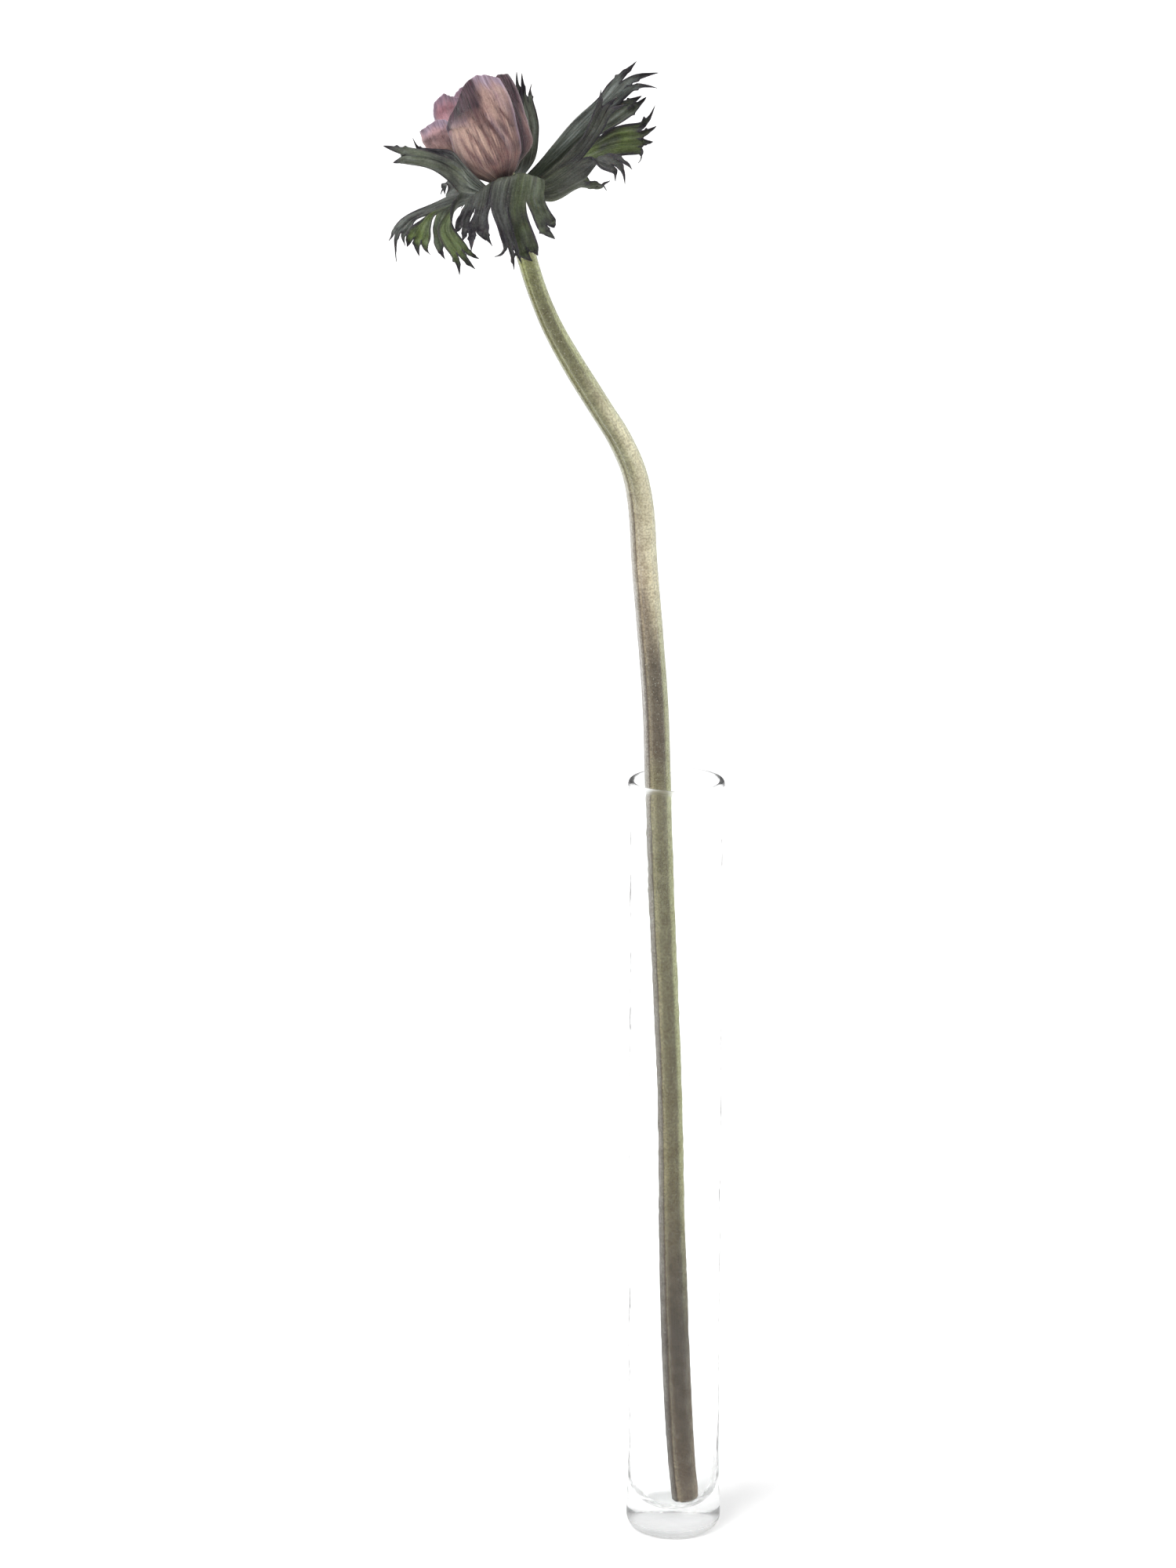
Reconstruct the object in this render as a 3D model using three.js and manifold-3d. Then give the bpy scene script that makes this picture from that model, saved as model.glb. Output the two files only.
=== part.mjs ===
// A single cut anemone standing in a clear glass tube vase. Millimetres, +Z up, +X to the right and
// +Y away from the viewer; the origin is the centre of the vase's flat foot.
// The flower is a long fleshy stem, three deeply cut leafy bracts close under the bloom, six tepals
// in overlapping layers that form a half-closed cup, and a dark centre of carpels and stamens.

import * as THREE from "three";
import { mergeVertices } from "three/addons/utils/BufferGeometryUtils.js";
import Module from "manifold-3d";

const wasm = await Module();
wasm.setup();

const vec = (x, y, z) => new THREE.Vector3(x, y, z);
const degrees = THREE.MathUtils.degToRad;
const clamp01 = (x) => THREE.MathUtils.clamp(x, 0, 1);
const smooth = (x) => THREE.MathUtils.smoothstep(x, 0, 1);

// Driving dimensions
const VASE = {
  height: 206,
  tubeRadius: 12.2,
  lipRadius: 12.5,
  wall: 1.4,
  lipWall: 1.7,
  floor: 5.7,
  footRadius: 10.4,
  sides: 36,
};
const GAP = 0.3; // between pieces that touch
const BLADE = 0.6; // thickness of every petal and bract
const STEM_SIDES = 14;
const STEM_ROWS = 42;
const HEAD = vec(-42.3, 1, 357.8); // where the bracts join the stem
const BLOOM_SEAT = vec(-1.6, 0, 3.4); // bloom's base, from HEAD
const BLOOM_LEAN = { x: degrees(3), y: degrees(-21) };
const COLLAR_RADIUS = 2.6; // stem at the bracts
const SEAT_RADIUS = 3.0; // stem's swollen end, which carries the petals
const SEAT_TOP = 3.0; // top of its flank, in the bloom
const PETAL_BASE_RADIUS = SEAT_RADIUS + GAP + BLADE / 2;

// A sheet of quads whose vertices are shared wherever two patches meet.
class Sheet {
  constructor() {
    this.points = [];
    this.quads = [];
    this.known = new Map();
  }

  vertex(p) {
    const key = [p.x, p.y, p.z].map((c) => Math.round(c * 1000)).join();
    if (!this.known.has(key)) {
      this.known.set(key, this.points.length);
      this.points.push(p.clone());
    }
    return this.known.get(key);
  }

  // rows[i][j] are points; each cell becomes a quad, or a triangle where two corners coincide.
  addPatch(rows) {
    const index = rows.map((row) => row.map((p) => this.vertex(p)));
    for (let i = 0; i + 1 < index.length; i++)
      for (let j = 0; j + 1 < index[i].length; j++)
        this.quads.push([index[i][j], index[i][j + 1], index[i + 1][j + 1], index[i + 1][j]]);
  }

  triangles() {
    return this.quads
      .flatMap(([a, b, c, d]) => [
        [a, b, c],
        [a, c, d],
      ])
      .filter(([a, b, c]) => a !== b && b !== c && a !== c);
  }

  // The sheet given a thickness, as one closed geometry: both faces are split alike.
  thicken(thickness) {
    const triangles = this.triangles();
    const normals = this.points.map(() => vec(0, 0, 0));
    const edges = new Map();
    for (const [a, b, c] of triangles) {
      const ab = this.points[b].clone().sub(this.points[a]);
      const ac = this.points[c].clone().sub(this.points[a]);
      const face = ab.cross(ac);
      for (const k of [a, b, c]) normals[k].add(face);
      for (const [p, q] of [
        [a, b],
        [b, c],
        [c, a],
      ]) {
        if (edges.has(q + "_" + p)) edges.delete(q + "_" + p);
        else edges.set(p + "_" + q, [p, q]);
      }
    }
    const n = this.points.length;
    const half = thickness / 2;
    for (const normal of normals) normal.setLength(half);
    const front = this.points.map((p, k) => p.clone().add(normals[k]));
    const back = this.points.map((p, k) => p.clone().sub(normals[k]));
    const positions = [...front, ...back].flatMap((p) => [p.x, p.y, p.z]);
    const index = triangles.flatMap(([a, b, c]) => [a, b, c, c + n, b + n, a + n]);
    for (const [p, q] of edges.values()) index.push(p, p + n, q + n, p, q + n, q);
    const made = new THREE.BufferGeometry();
    made.setAttribute("position", new THREE.Float32BufferAttribute(positions, 3));
    made.setIndex(index);
    return made;
  }
}

// Rings of equal point counts joined into one closed body, with a flat fan over each end.
function loft(rings) {
  const sides = rings[0].length;
  const middle = (ring) => ring.reduce((sum, p) => sum.add(p), vec(0, 0, 0)).divideScalar(sides);
  const positions = [...rings.flat(), middle(rings[0]), middle(rings.at(-1))].flatMap((p) => [p.x, p.y, p.z]);
  const index = [];
  for (let i = 0; i + 1 < rings.length; i++)
    for (let j = 0; j < sides; j++) {
      const a = i * sides + j;
      const b = i * sides + ((j + 1) % sides);
      index.push(a, b, b + sides, a, b + sides, a + sides);
    }
  const first = rings.length * sides;
  const last = (rings.length - 1) * sides;
  for (let j = 0; j < sides; j++) {
    const next = (j + 1) % sides;
    index.push(first, next, j, first + 1, last + j, last + next);
  }
  const made = new THREE.BufferGeometry();
  made.setAttribute("position", new THREE.Float32BufferAttribute(positions, 3));
  made.setIndex(index);
  return made;
}

function toManifold(geometry) {
  const bare = geometry.clone();
  bare.deleteAttribute("normal");
  bare.deleteAttribute("uv");
  const merged = mergeVertices(bare, 1e-4);
  return new wasm.Manifold(
    new wasm.Mesh({
      numProp: 3,
      vertProperties: merged.attributes.position.array,
      triVerts: new Uint32Array(merged.index.array),
    }),
  );
}

function toGeometry(solid) {
  const mesh = solid.getMesh();
  const made = new THREE.BufferGeometry();
  made.setAttribute("position", new THREE.Float32BufferAttribute(mesh.vertProperties, 3));
  made.setIndex(new THREE.Uint32BufferAttribute(mesh.triVerts, 1));
  return made;
}

function matter(color, roughness, extra = {}) {
  return new THREE.MeshStandardMaterial({ color, roughness, metalness: 0, flatShading: false, ...extra });
}

function node(name, geometry, material) {
  const shaded = geometry.clone();
  shaded.computeVertexNormals();
  const mesh = new THREE.Mesh(shaded, material);
  mesh.name = name;
  return mesh;
}

const GLASS = matter(0xe8eeee, 0.05, { transparent: true, opacity: 0.3 });
const STEM_GREEN = matter(0x85805f, 0.6);
const BRACT_GREEN = matter(0x4f5648, 0.7);
const PETAL_ROSE = matter(0xa87f74, 0.75);
const CENTRE_DARK = matter(0x1f1c2b, 0.8);

// Vase: a straight tube with a rolled lip and a thick, round-cornered floor
function vase() {
  const { height, tubeRadius, lipRadius, wall, lipWall, floor, footRadius, sides } = VASE;
  const bore = tubeRadius - wall;
  const throat = lipRadius - lipWall;
  const outline = [
    [0, 0],
    [footRadius, 0],
    [lipRadius - 0.7, 0.8],
    [lipRadius, 2.6],
    [lipRadius, 6],
    [tubeRadius, 14],
    [tubeRadius, height / 2],
    [tubeRadius, height - 6],
    [lipRadius, height - 1.4],
    [lipRadius - 0.3, height - 0.3],
    [lipRadius - lipWall / 2, height],
    [throat + 0.2, height - 0.3],
    [throat, height - 1.4],
    [bore, height - 6],
    [bore, height / 2],
    [bore, 26],
    [bore - 0.3, 16],
    [bore - 1.2, 10.5],
    [bore - 3.2, 7.6],
    [bore - 6.4, 6.1],
    [0, floor],
  ];
  const profile = outline.map(([r, z]) => new THREE.Vector2(r, z));
  // LatheGeometry turns about +Y, so the body is stood up to turn about +Z
  return new THREE.LatheGeometry(profile, sides).rotateX(Math.PI / 2);
}

// Stem: its line from the cut end on the vase's floor, past the lip, to the swollen end in the bloom
const STEM_LINE = [
  [3.2, -2.4, 7.4],
  [1.8, -2.0, 22],
  [0.2, -1.1, 54.5],
  [-0.8, 0, 87],
  [-1.4, 1.2, 119],
  [-2.6, 2.4, 148],
  [-3.9, 4.0, 176],
  [-4.8, 5.2, 204],
  [-5.5, 6.2, 224],
  [-6.9, 7.2, 243],
  [-8.4, 7.8, 261],
  [-9.4, 8.0, 276],
  [-11.2, 8.0, 285],
  [-14.8, 7.8, 293.4],
  [-19.7, 7.2, 301.5],
  [-27.2, 6.0, 314],
  [-32.4, 4.6, 324],
  [-36.2, 3.2, 334],
  [-39.0, 2.2, 344],
  [-41.4, 1.4, 353.5],
];
const STEM_RADII = [
  // share of the stem's length, radius
  [0, 3.6],
  [0.12, 3.7],
  [0.3, 3.25],
  [0.5, 3.4],
  [0.72, 3.35],
  [0.84, 3.0],
  [0.93, 2.5],
  [1, COLLAR_RADIUS],
];
const STEM_FURROW = { angle: degrees(205), depth: 0.09, spread: 0.35 };

function between(table, x) {
  const k = Math.max(1, table.findIndex(([at]) => at >= x));
  const [x0, y0] = table[k - 1];
  const [x1, y1] = table[k];
  return y0 + (y1 - y0) * smooth((x - x0) / (x1 - x0));
}

// Five low ribs and one deeper furrow down the stem's left side.
function stemSection(angle) {
  const off = Math.atan2(Math.sin(angle - STEM_FURROW.angle), Math.cos(angle - STEM_FURROW.angle));
  const furrow = STEM_FURROW.depth * Math.exp(-((off / STEM_FURROW.spread) ** 2));
  return 1 + 0.02 * Math.cos(5 * angle) - furrow;
}

function bloomFrame() {
  return new THREE.Matrix4().compose(
    BLOOM_SEAT.clone().add(HEAD),
    new THREE.Quaternion().setFromEuler(new THREE.Euler(BLOOM_LEAN.x, BLOOM_LEAN.y, 0)),
    vec(1, 1, 1),
  );
}

function stem() {
  const frame = bloomFrame();
  const along = vec(0, 0, 1).transformDirection(frame);
  const inBloom = (height) => vec(0, 0, height).applyMatrix4(frame);
  const line = new THREE.CatmullRomCurve3(
    [...STEM_LINE.map((p) => vec(...p)), inBloom(-3.6)],
    false,
    "centripetal",
  );
  const rings = [];
  const section = (centre, axis, radius, ribs) => {
    const across = vec(1, 0, 0).addScaledVector(axis, -axis.x).normalize();
    const away = axis.clone().cross(across);
    return Array.from({ length: STEM_SIDES }, (_, j) => {
      const angle = (2 * Math.PI * j) / STEM_SIDES;
      const r = radius * (1 + ribs * (stemSection(angle) - 1));
      return centre
        .clone()
        .addScaledVector(across, r * Math.cos(angle))
        .addScaledVector(away, r * Math.sin(angle));
    });
  };
  for (let i = 0; i <= STEM_ROWS; i++) {
    const t = i / STEM_ROWS;
    const ribs = 1 - smooth((t - 0.93) / 0.07);
    rings.push(section(line.getPointAt(t), line.getTangentAt(t), between(STEM_RADII, t), ribs));
  }
  // the swollen end: flank for the petals' feet, then a low dome for the centre
  const swell = [
    [-2.6, SEAT_RADIUS - 0.1],
    [-1.6, SEAT_RADIUS],
    [0.7, SEAT_RADIUS],
    [SEAT_TOP, SEAT_RADIUS],
    [SEAT_TOP + 0.5, SEAT_RADIUS - 0.5],
    [SEAT_TOP + 0.8, SEAT_RADIUS - 1.4],
  ];
  for (const [height, radius] of swell) rings.push(section(inBloom(height), along, radius, 0));
  return loft(rings);
}

// Petals: sheets on nested cups round the bloom's own axis, which is its local Z
const CUP = { foot: -0.8, width: 6.8, rise: 7, shoulder: 13, closing: 0.006 };
const PITCH = BLADE + 0.4; // from one cup to the next one out
const PETAL_FEET = [2.0, 0.65, -0.8]; // height of the lowest edge on each cup, innermost first
const OUTERMOST = 2;
const PETALS = [
  // middle azimuth and half span in degrees, cup, top, where its peak lies from -1 to 1, and how
  // far the top's two corners drop
  { name: "petal_front", azimuth: -93, span: 57, cup: 2, top: 27.8, peak: 0.5, drops: [10.5, 3.6] },
  { name: "petal_right", azimuth: -15, span: 50, cup: 1, top: 24.8, peak: -0.2, drops: [6, 4.5] },
  { name: "petal_back_right", azimuth: 42, span: 49, cup: 0, top: 23.6, peak: 0.1, drops: [5, 6] },
  { name: "petal_back", azimuth: 100, span: 49, cup: 1, top: 23.4, peak: 0, drops: [5, 5] },
  { name: "petal_back_left", azimuth: 152, span: 44, cup: 0, top: 24, peak: -0.1, drops: [4, 5] },
  { name: "petal_left", azimuth: -163, span: 42, cup: 1, top: 19.6, peak: 0.2, drops: [4, 2] },
];
// Some petals lean out of the cup past an azimuth: by how much, between which heights
const FLARES = {
  petal_front: { amount: 1.8, from: -80, full: -42, low: 10, high: 22 },
  petal_right: { amount: 1.5, from: -37, full: -10, low: 2, high: 8 },
  petal_back_left: { amount: 2.6, from: 150, full: 166, low: 12, high: 20 },
  petal_left: { amount: 6, from: -148, full: -174, low: 5, high: 14 },
};
const PETAL_ROWS = 10;
const PETAL_COLUMNS = 9;

function cupRadius(height, cup) {
  const up = (height - CUP.foot) / CUP.rise;
  const over = Math.max(0, height - CUP.shoulder);
  const outer = PETAL_BASE_RADIUS + CUP.width * Math.tanh(up) - CUP.closing * over ** 2;
  const slope = (CUP.width / CUP.rise / Math.cosh(up) ** 2) - 2 * CUP.closing * over;
  const inward = (OUTERMOST - cup) * PITCH * Math.hypot(1, slope);
  return Math.max(PETAL_BASE_RADIUS, outer - inward);
}

function petalPoint(petal, u, v) {
  const foot = PETAL_FEET[petal.cup];
  const side = u < petal.peak ? (petal.peak - u) / (1 + petal.peak) : (u - petal.peak) / (1 - petal.peak);
  const drop = petal.drops[u < petal.peak ? 0 : 1] * side ** 1.5;
  const ragged = 0.3 * Math.sin(7 * u + petal.azimuth) * v ** 4;
  const height = foot + (petal.top - drop + ragged - foot) * v;
  const halfSpan = petal.span * (0.6 + 0.4 * smooth(v * 3.5)) * (1 - 0.08 * v ** 4);
  const azimuth = degrees(petal.azimuth + u * halfSpan);
  const lean = FLARES[petal.name];
  const flare = lean
    ? lean.amount *
      smooth((azimuth - degrees(lean.from)) / degrees(lean.full - lean.from)) *
      smooth((height - lean.low) / (lean.high - lean.low))
    : 0;
  // one shallow wave shared by every cup, so that the petals stay nested
  const wave = 0.35 * Math.sin(5 * azimuth + 0.12 * height) * clamp01(height / 20) ** 2;
  const r = cupRadius(height, petal.cup) + flare + wave;
  return vec(r * Math.cos(azimuth), r * Math.sin(azimuth), height);
}

function petal(spec) {
  const sheet = new Sheet();
  const rows = [];
  for (let i = 0; i <= PETAL_ROWS; i++) {
    const v = (i / PETAL_ROWS) ** 1.2;
    const row = [];
    for (let j = 0; j <= PETAL_COLUMNS; j++) row.push(petalPoint(spec, (2 * j) / PETAL_COLUMNS - 1, v));
    rows.push(row);
  }
  sheet.addPatch(rows);
  return sheet.thicken(BLADE);
}

// Centre: a dome of small carpels with a ring of stamens fused to its foot
function centre() {
  const radius = 2.9;
  const foot = SEAT_TOP + 0.8 + GAP;
  const rings = [];
  const sides = 18;
  const levels = 6;
  for (let i = 0; i <= levels; i++) {
    const rise = (i / levels) * degrees(78);
    rings.push(
      Array.from({ length: sides }, (_, j) => {
        const angle = (2 * Math.PI * (j + (i % 2) / 2)) / sides;
        const bump = i > 0 && j % 2 ? 0.22 : 0;
        const r = (radius + bump) * Math.cos(rise);
        return vec(r * Math.cos(angle), r * Math.sin(angle), foot + (radius + bump) * 1.1 * Math.sin(rise));
      }),
    );
  }
  let made = toManifold(loft(rings));
  const stamens = 24;
  for (let k = 0; k < stamens; k++) {
    const angle = (2 * Math.PI * k) / stamens;
    const turned = (p) => p.applyAxisAngle(vec(0, 0, 1), angle);
    const reach = 4.0 + 0.5 * Math.sin(k * 2.4);
    const rise = foot + 4.6 + 0.9 * Math.cos(k * 1.7);
    const line = new THREE.CatmullRomCurve3([
      turned(vec(radius - 0.7, 0, foot + 0.5)),
      turned(vec(radius + 0.5, 0, foot + 1.4)),
      turned(vec(reach, 0, rise - 1.2)),
      turned(vec(reach - 0.1, 0, rise)),
    ]);
    const thickness = [0.17, 0.17, 0.17, 0.42, 0.2];
    const stations = thickness.map((half, i) => {
      const t = [0, 0.45, 0.72, 0.86, 1][i];
      const axis = line.getTangentAt(t);
      const across = turned(vec(0, 1, 0));
      const away = axis.clone().cross(across);
      return [0, 1, 2, 3].map((q) =>
        line
          .getPointAt(t)
          .addScaledVector(across, half * Math.cos((q * Math.PI) / 2))
          .addScaledVector(away, half * Math.sin((q * Math.PI) / 2)),
      );
    });
    made = made.add(toManifold(loft(stations)));
  }
  return toGeometry(made);
}

// Bracts: each is one leaf that leaves the stem on an arc, widens to a plate and parts into lobes,
// and each lobe into teeth. A lobe's line runs from the plate's fold, through the point where it
// parts from its neighbours, to where its teeth part. It has a half width, the direction across
// it, how far its edges lift from its middle, and the tips of its teeth. All are from HEAD.
const BRACTS = [
  {
    name: "bract_front",
    arc: { from: -152, to: -34, height: -1.6 },
    lobes: [
      {
        line: [[-8.2, -8.6, 0.2], [-9.9, -9.9, -3], [-11.2, -10, -5.6], [-11.7, -10.2, -7.6]],
        half: 1.8, across: [1, -0.2, 0.1], lift: -0.4,
        tips: [[-13, -10.6, -8.8], [-11.6, -11.2, -11]],
      },
      {
        line: [[-4.6, -8.4, 3.2], [-6.4, -11, -2.2], [-7.2, -12, -5.6], [-7.4, -12.2, -8]],
        half: 2.6, across: [1, -0.1, 0.1], lift: -0.5,
        tips: [[-9.5, -12, -13.4], [-5.6, -12.6, -10.6], [-4.2, -12.6, -12]],
      },
      {
        line: [[-0.8, -8.6, 4.6], [-2.6, -12, -2], [-1.2, -13, -7], [0.2, -13.4, -11.5]],
        half: 1.9, across: [1, 0.1, 0.3], lift: -0.4,
        tips: [[-3.6, -13, -14.6], [1.2, -13.6, -17.8], [3.1, -13.6, -16.2]],
      },
      {
        line: [[3.1, -7.8, 5.2], [1.8, -10.4, -1.6], [2.6, -10.4, -7], [4.2, -10, -12.6]],
        half: 3.1, across: [1, 0.1, 0.1], lift: -0.5,
        tips: [[5.8, -9.6, -16.3], [7, -9.2, -14.6]],
      },
      {
        line: [[6.7, -7.2, 4.2], [6.3, -9, -0.6], [7.8, -9.2, -4.2], [9.3, -9.2, -7]],
        half: 2.5, across: [1, 0.2, 0.3], lift: -0.5,
        tips: [[11.6, -9.4, -10.8], [11.3, -9, -8]],
      },
    ],
  },
  {
    name: "bract_left",
    arc: { from: -158, to: -292, height: -0.4 },
    lobes: [
      {
        line: [[-8.8, -8.4, 4.6], [-13.6, -7.2, 9.8], [-17, -5, 10.3], [-20.7, -4.7, 10.3]],
        half: 0.9, across: [0.3, -0.35, -1], lift: 0.2,
        tips: [[-23.9, -6, 14]],
      },
      {
        line: [[-9, -6.6, 2.4], [-12, -8.5, 5.3], [-17.2, -9.2, 8.5], [-25.4, -7.4, 9.8]],
        half: 2.2, across: [0.3, -0.35, -1], lift: 0.5,
        tips: [[-31.2, -5.6, 11.9], [-28.6, -7.2, 7.8]],
      },
      {
        line: [[-9, -3, -2], [-13.6, -4.8, -4.2], [-15.8, -8.6, -8.4], [-12.4, -10, -13.6]],
        half: 2.2, across: [-1, 0, -0.2], lift: -0.4,
        tips: [[-7.4, -9.6, -15.6], [-8.4, -10, -18.2], [-12.4, -9.8, -19.7]],
      },
      {
        line: [[-9.6, -1.8, -2], [-16.4, -4.2, -4.4], [-17.8, -5.4, -8.2], [-17.6, -6.2, -12]],
        half: 0.9, across: [-1, 0, 0], lift: -0.3,
        tips: [[-16, -7.2, -16.2]],
      },
      {
        line: [[-10, -0.8, -2], [-18.6, -4, -4.8], [-21.4, -6.6, -8], [-22.7, -7.2, -11]],
        half: 2.8, across: [-1, 0.1, 0.1], lift: -0.4,
        tips: [[-19.8, -7.6, -14.8], [-22.4, -8, -15.2], [-25.4, -7.4, -13]],
      },
      {
        line: [[-10.6, 0.4, -2.2], [-18.6, -2.8, -4.8], [-24.2, -4.2, -6.3], [-27, -5.2, -9.2]],
        half: 1.7, across: [-0.6, 0.4, 0.5], lift: -0.5,
        tips: [[-25.7, -7.2, -13], [-28, -6, -17.2], [-30, -4.8, -12]],
      },
      {
        line: [[-8.8, 4, -0.4], [-11.8, 6, 0.4], [-14.8, 8.6, 1]],
        half: 1.7, across: [0.3, 1, 0.4], lift: -0.5,
        tips: [[-16.4, 10, -2.8], [-17.6, 12.4, -3]],
      },
      {
        line: [[-4.2, 8.2, 0], [-6.4, 12, -1.2], [-8.4, 15.4, -3.4]],
        half: 2.4, across: [1, 0.5, 0], lift: -0.5,
        tips: [[-12.6, 18, -7.6], [-9.4, 20, -9], [-6.2, 18.6, -8.4]],
      },
      {
        line: [[2.4, 6.6, 2.4], [4.8, 8.6, 6.6], [5.6, 9.8, 14], [4, 10, 20.4]],
        half: 2, across: [1, -0.2, 0.1], lift: 0.4,
        tips: [[1.5, 10.2, 28.4], [2.9, 10.2, 28], [5.2, 9.6, 25.2]],
      },
    ],
  },
  {
    name: "bract_right",
    arc: { from: 62, to: -26, height: -1 },
    lobes: [
      {
        line: [[9.4, 4.6, 7.2], [18.6, 6.8, 16], [24, 6.2, 21.4], [28, 4.4, 25.6]],
        half: 2.9, across: [0.8, 0.2, -0.7], lift: 0.5,
        tips: [[31.6, 3, 31.5], [37.1, 0, 29.1], [36.8, 1.4, 25.8]],
      },
      {
        line: [[9.8, 5.8, 4.8], [19, 8.2, 11.8], [24.2, 7.6, 15.6], [29.4, 6, 19.6]],
        half: 2.2, across: [0.6, -0.1, -0.8], lift: 0.5,
        tips: [[32.8, 4.6, 22.9], [34.3, 3.4, 23.1]],
      },
      {
        line: [[10.4, 4.2, 2.2], [19, 5.4, 8.4], [25, 4.2, 11.4], [32.2, 0.6, 12.8]],
        half: 4, across: [0.2, -0.35, -0.9], lift: 0.8,
        tips: [[36, 1, 21.2], [36.8, -1.6, 16.3], [36.2, -2.6, 12.4], [32.4, -4.2, 7.2]],
      },
      {
        line: [[10.2, 0, -2.6], [17.8, -0.6, 0.8], [21.6, -1.6, 1.4]],
        half: 1.9, across: [0.1, -1, 0.5], lift: 0.3,
        tips: [[25, -1.2, 3], [24.2, -2.8, 0.8]],
      },
      {
        line: [[10.2, -3.8, 1.4], [18.4, -8, 7.2], [22, -10.4, 9.2], [25.6, -12, 8.6]],
        half: 2.8, across: [-0.2, -0.75, -0.6], lift: -0.6,
        tips: [[30.4, -12.4, 7.3], [28.8, -12.8, 2.8], [26.2, -12, 4.7]],
      },
      {
        line: [[10.2, -5, 4.6], [17, -8, 10.6], [20.4, -8.6, 15.2], [23.2, -8.6, 20.8]],
        half: 2, across: [-0.85, 0.1, 0.35], lift: -0.5,
        tips: [[29.2, -9.4, 22.6], [27, -8.8, 24.4], [22.6, -7.2, 26]],
      },
    ],
  },
];
const STEM_LEAN = vec(-0.3, -0.05, 1).normalize(); // stem's direction at HEAD
const PLATE_ROWS = 6;
const LOBE_ROWS = 4;
const TOOTH_ROWS = 4;

const bezier = (a, b, c, t) =>
  a
    .clone()
    .multiplyScalar((1 - t) * (1 - t))
    .addScaledVector(b, 2 * t * (1 - t))
    .addScaledVector(c, t * t);

const smoothLine = (points) => new THREE.CatmullRomCurve3(points, false, "centripetal");

// A row of points across the plate, on one smooth line through each lobe's middle and on past the
// first and the last to the outer edges. Neighbours meet halfway; each tooth has two cells.
function rowAcross(lobes, middles, reach) {
  const past = (end, next, distance) => end.clone().sub(next).setLength(distance).add(end);
  const last = middles.length - 1;
  const line = smoothLine([
    past(middles[0], middles[1], reach[0]),
    ...middles,
    past(middles[last], middles[last - 1], reach[1]),
  ]);
  // middle k is at k + 1 along the line, and the outer edges are at its ends
  const edges = lobes.map((_, k) => (k === 0 ? 0 : k + 0.5));
  edges.push(last + 2);
  return lobes.map((lobe, k) => {
    const cells = lobe.tips.length * 2;
    return Array.from({ length: cells + 1 }, (_, j) => {
      const a = (2 * j) / cells - 1;
      const along = k + 1 + a * (a < 0 ? k + 1 - edges[k] : edges[k + 1] - k - 1);
      return line.getPoint(along / (last + 2));
    });
  });
}

// The plate's rows, from the arc round the stem to where the lobes part, split up by lobe.
function plateRows({ arc, lobes }) {
  const cells = lobes.reduce((sum, lobe) => sum + lobe.tips.length * 2, 0);
  const radius = COLLAR_RADIUS + GAP + BLADE / 2 + 0.15;
  const onArc = (share) => {
    const azimuth = degrees(arc.from + (arc.to - arc.from) * share);
    const out = vec(Math.cos(azimuth), Math.sin(azimuth), 0);
    out.addScaledVector(STEM_LEAN, -out.dot(STEM_LEAN)).setLength(radius);
    return out.addScaledVector(STEM_LEAN, arc.height);
  };
  let done = 0;
  const firstRow = lobes.map((lobe) => {
    const own = lobe.tips.length * 2;
    const row = Array.from({ length: own + 1 }, (_, j) => onArc((done + j) / cells));
    done += own;
    return row;
  });
  const routes = lobes.map((lobe, k) => {
    const [fold, parting, next] = lobe.line.map((p) => vec(...p));
    const foot = firstRow[k][lobe.tips.length];
    return new THREE.CatmullRomCurve3([foot, fold, parting, next], false, "catmullrom", 0.5);
  });
  const rows = [firstRow];
  for (let i = 1; i <= PLATE_ROWS; i++) {
    const s = i / PLATE_ROWS;
    const grown = 0.35 + 0.65 * smooth(s);
    const reach = [lobes[0].half * grown, lobes.at(-1).half * grown];
    // a route passes its four points at 0, 1/3, 2/3 and 1, and the lobes part at its third
    rows.push(rowAcross(lobes, routes.map((route) => route.getPoint((s * 2) / 3)), reach));
  }
  return lobes.map((_, k) => rows.map((row) => row[k]));
}

// A lobe from the row where it parts from its neighbours to the row where its teeth part.
function lobeRows(lobe, root) {
  const whole = smoothLine(lobe.line.map((p) => vec(...p)));
  const parting = 1 / (lobe.line.length - 1);
  const across = vec(...lobe.across).normalize();
  const cells = root.length - 1;
  const rows = [root];
  for (let i = 1; i <= LOBE_ROWS; i++) {
    const t = i / LOBE_ROWS;
    const along = parting + (1 - parting) * t;
    const middle = whole.getPoint(along);
    const ahead = whole.getTangent(along);
    const side = across.clone().addScaledVector(ahead, -across.dot(ahead)).normalize();
    const face = side.clone().cross(ahead);
    const settling = smooth(t * 1.15);
    const half = lobe.half * (0.8 + 0.2 * smooth(t * 1.6));
    rows.push(
      root.map((p, j) => {
        const a = (2 * j) / cells - 1;
        const settled = side
          .clone()
          .multiplyScalar(a * half)
          .addScaledVector(face, lobe.lift * (a * a - 0.4));
        const fromRoot = p.clone().sub(root[cells / 2]).multiplyScalar(1 - 0.35 * t);
        return middle.clone().addScaledVector(fromRoot, 1 - settling).addScaledVector(settled, settling);
      }),
    );
  }
  return { rows, ahead: whole.getTangent(1) };
}

// One tooth, from its three points on the lobe's last row to its tip.
function toothRows(start, tip, ahead) {
  const root = start[1];
  const bend = root.clone().addScaledVector(ahead, root.distanceTo(tip) * 0.4);
  const rows = [start];
  for (let i = 1; i <= TOOTH_ROWS; i++) {
    const t = i / TOOTH_ROWS;
    const middle = bezier(root, bend, tip, t);
    const width = 1 - 0.55 * t - 0.45 * t ** 3;
    rows.push(start.map((p) => middle.clone().addScaledVector(p.clone().sub(root), width)));
  }
  return rows;
}

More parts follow.
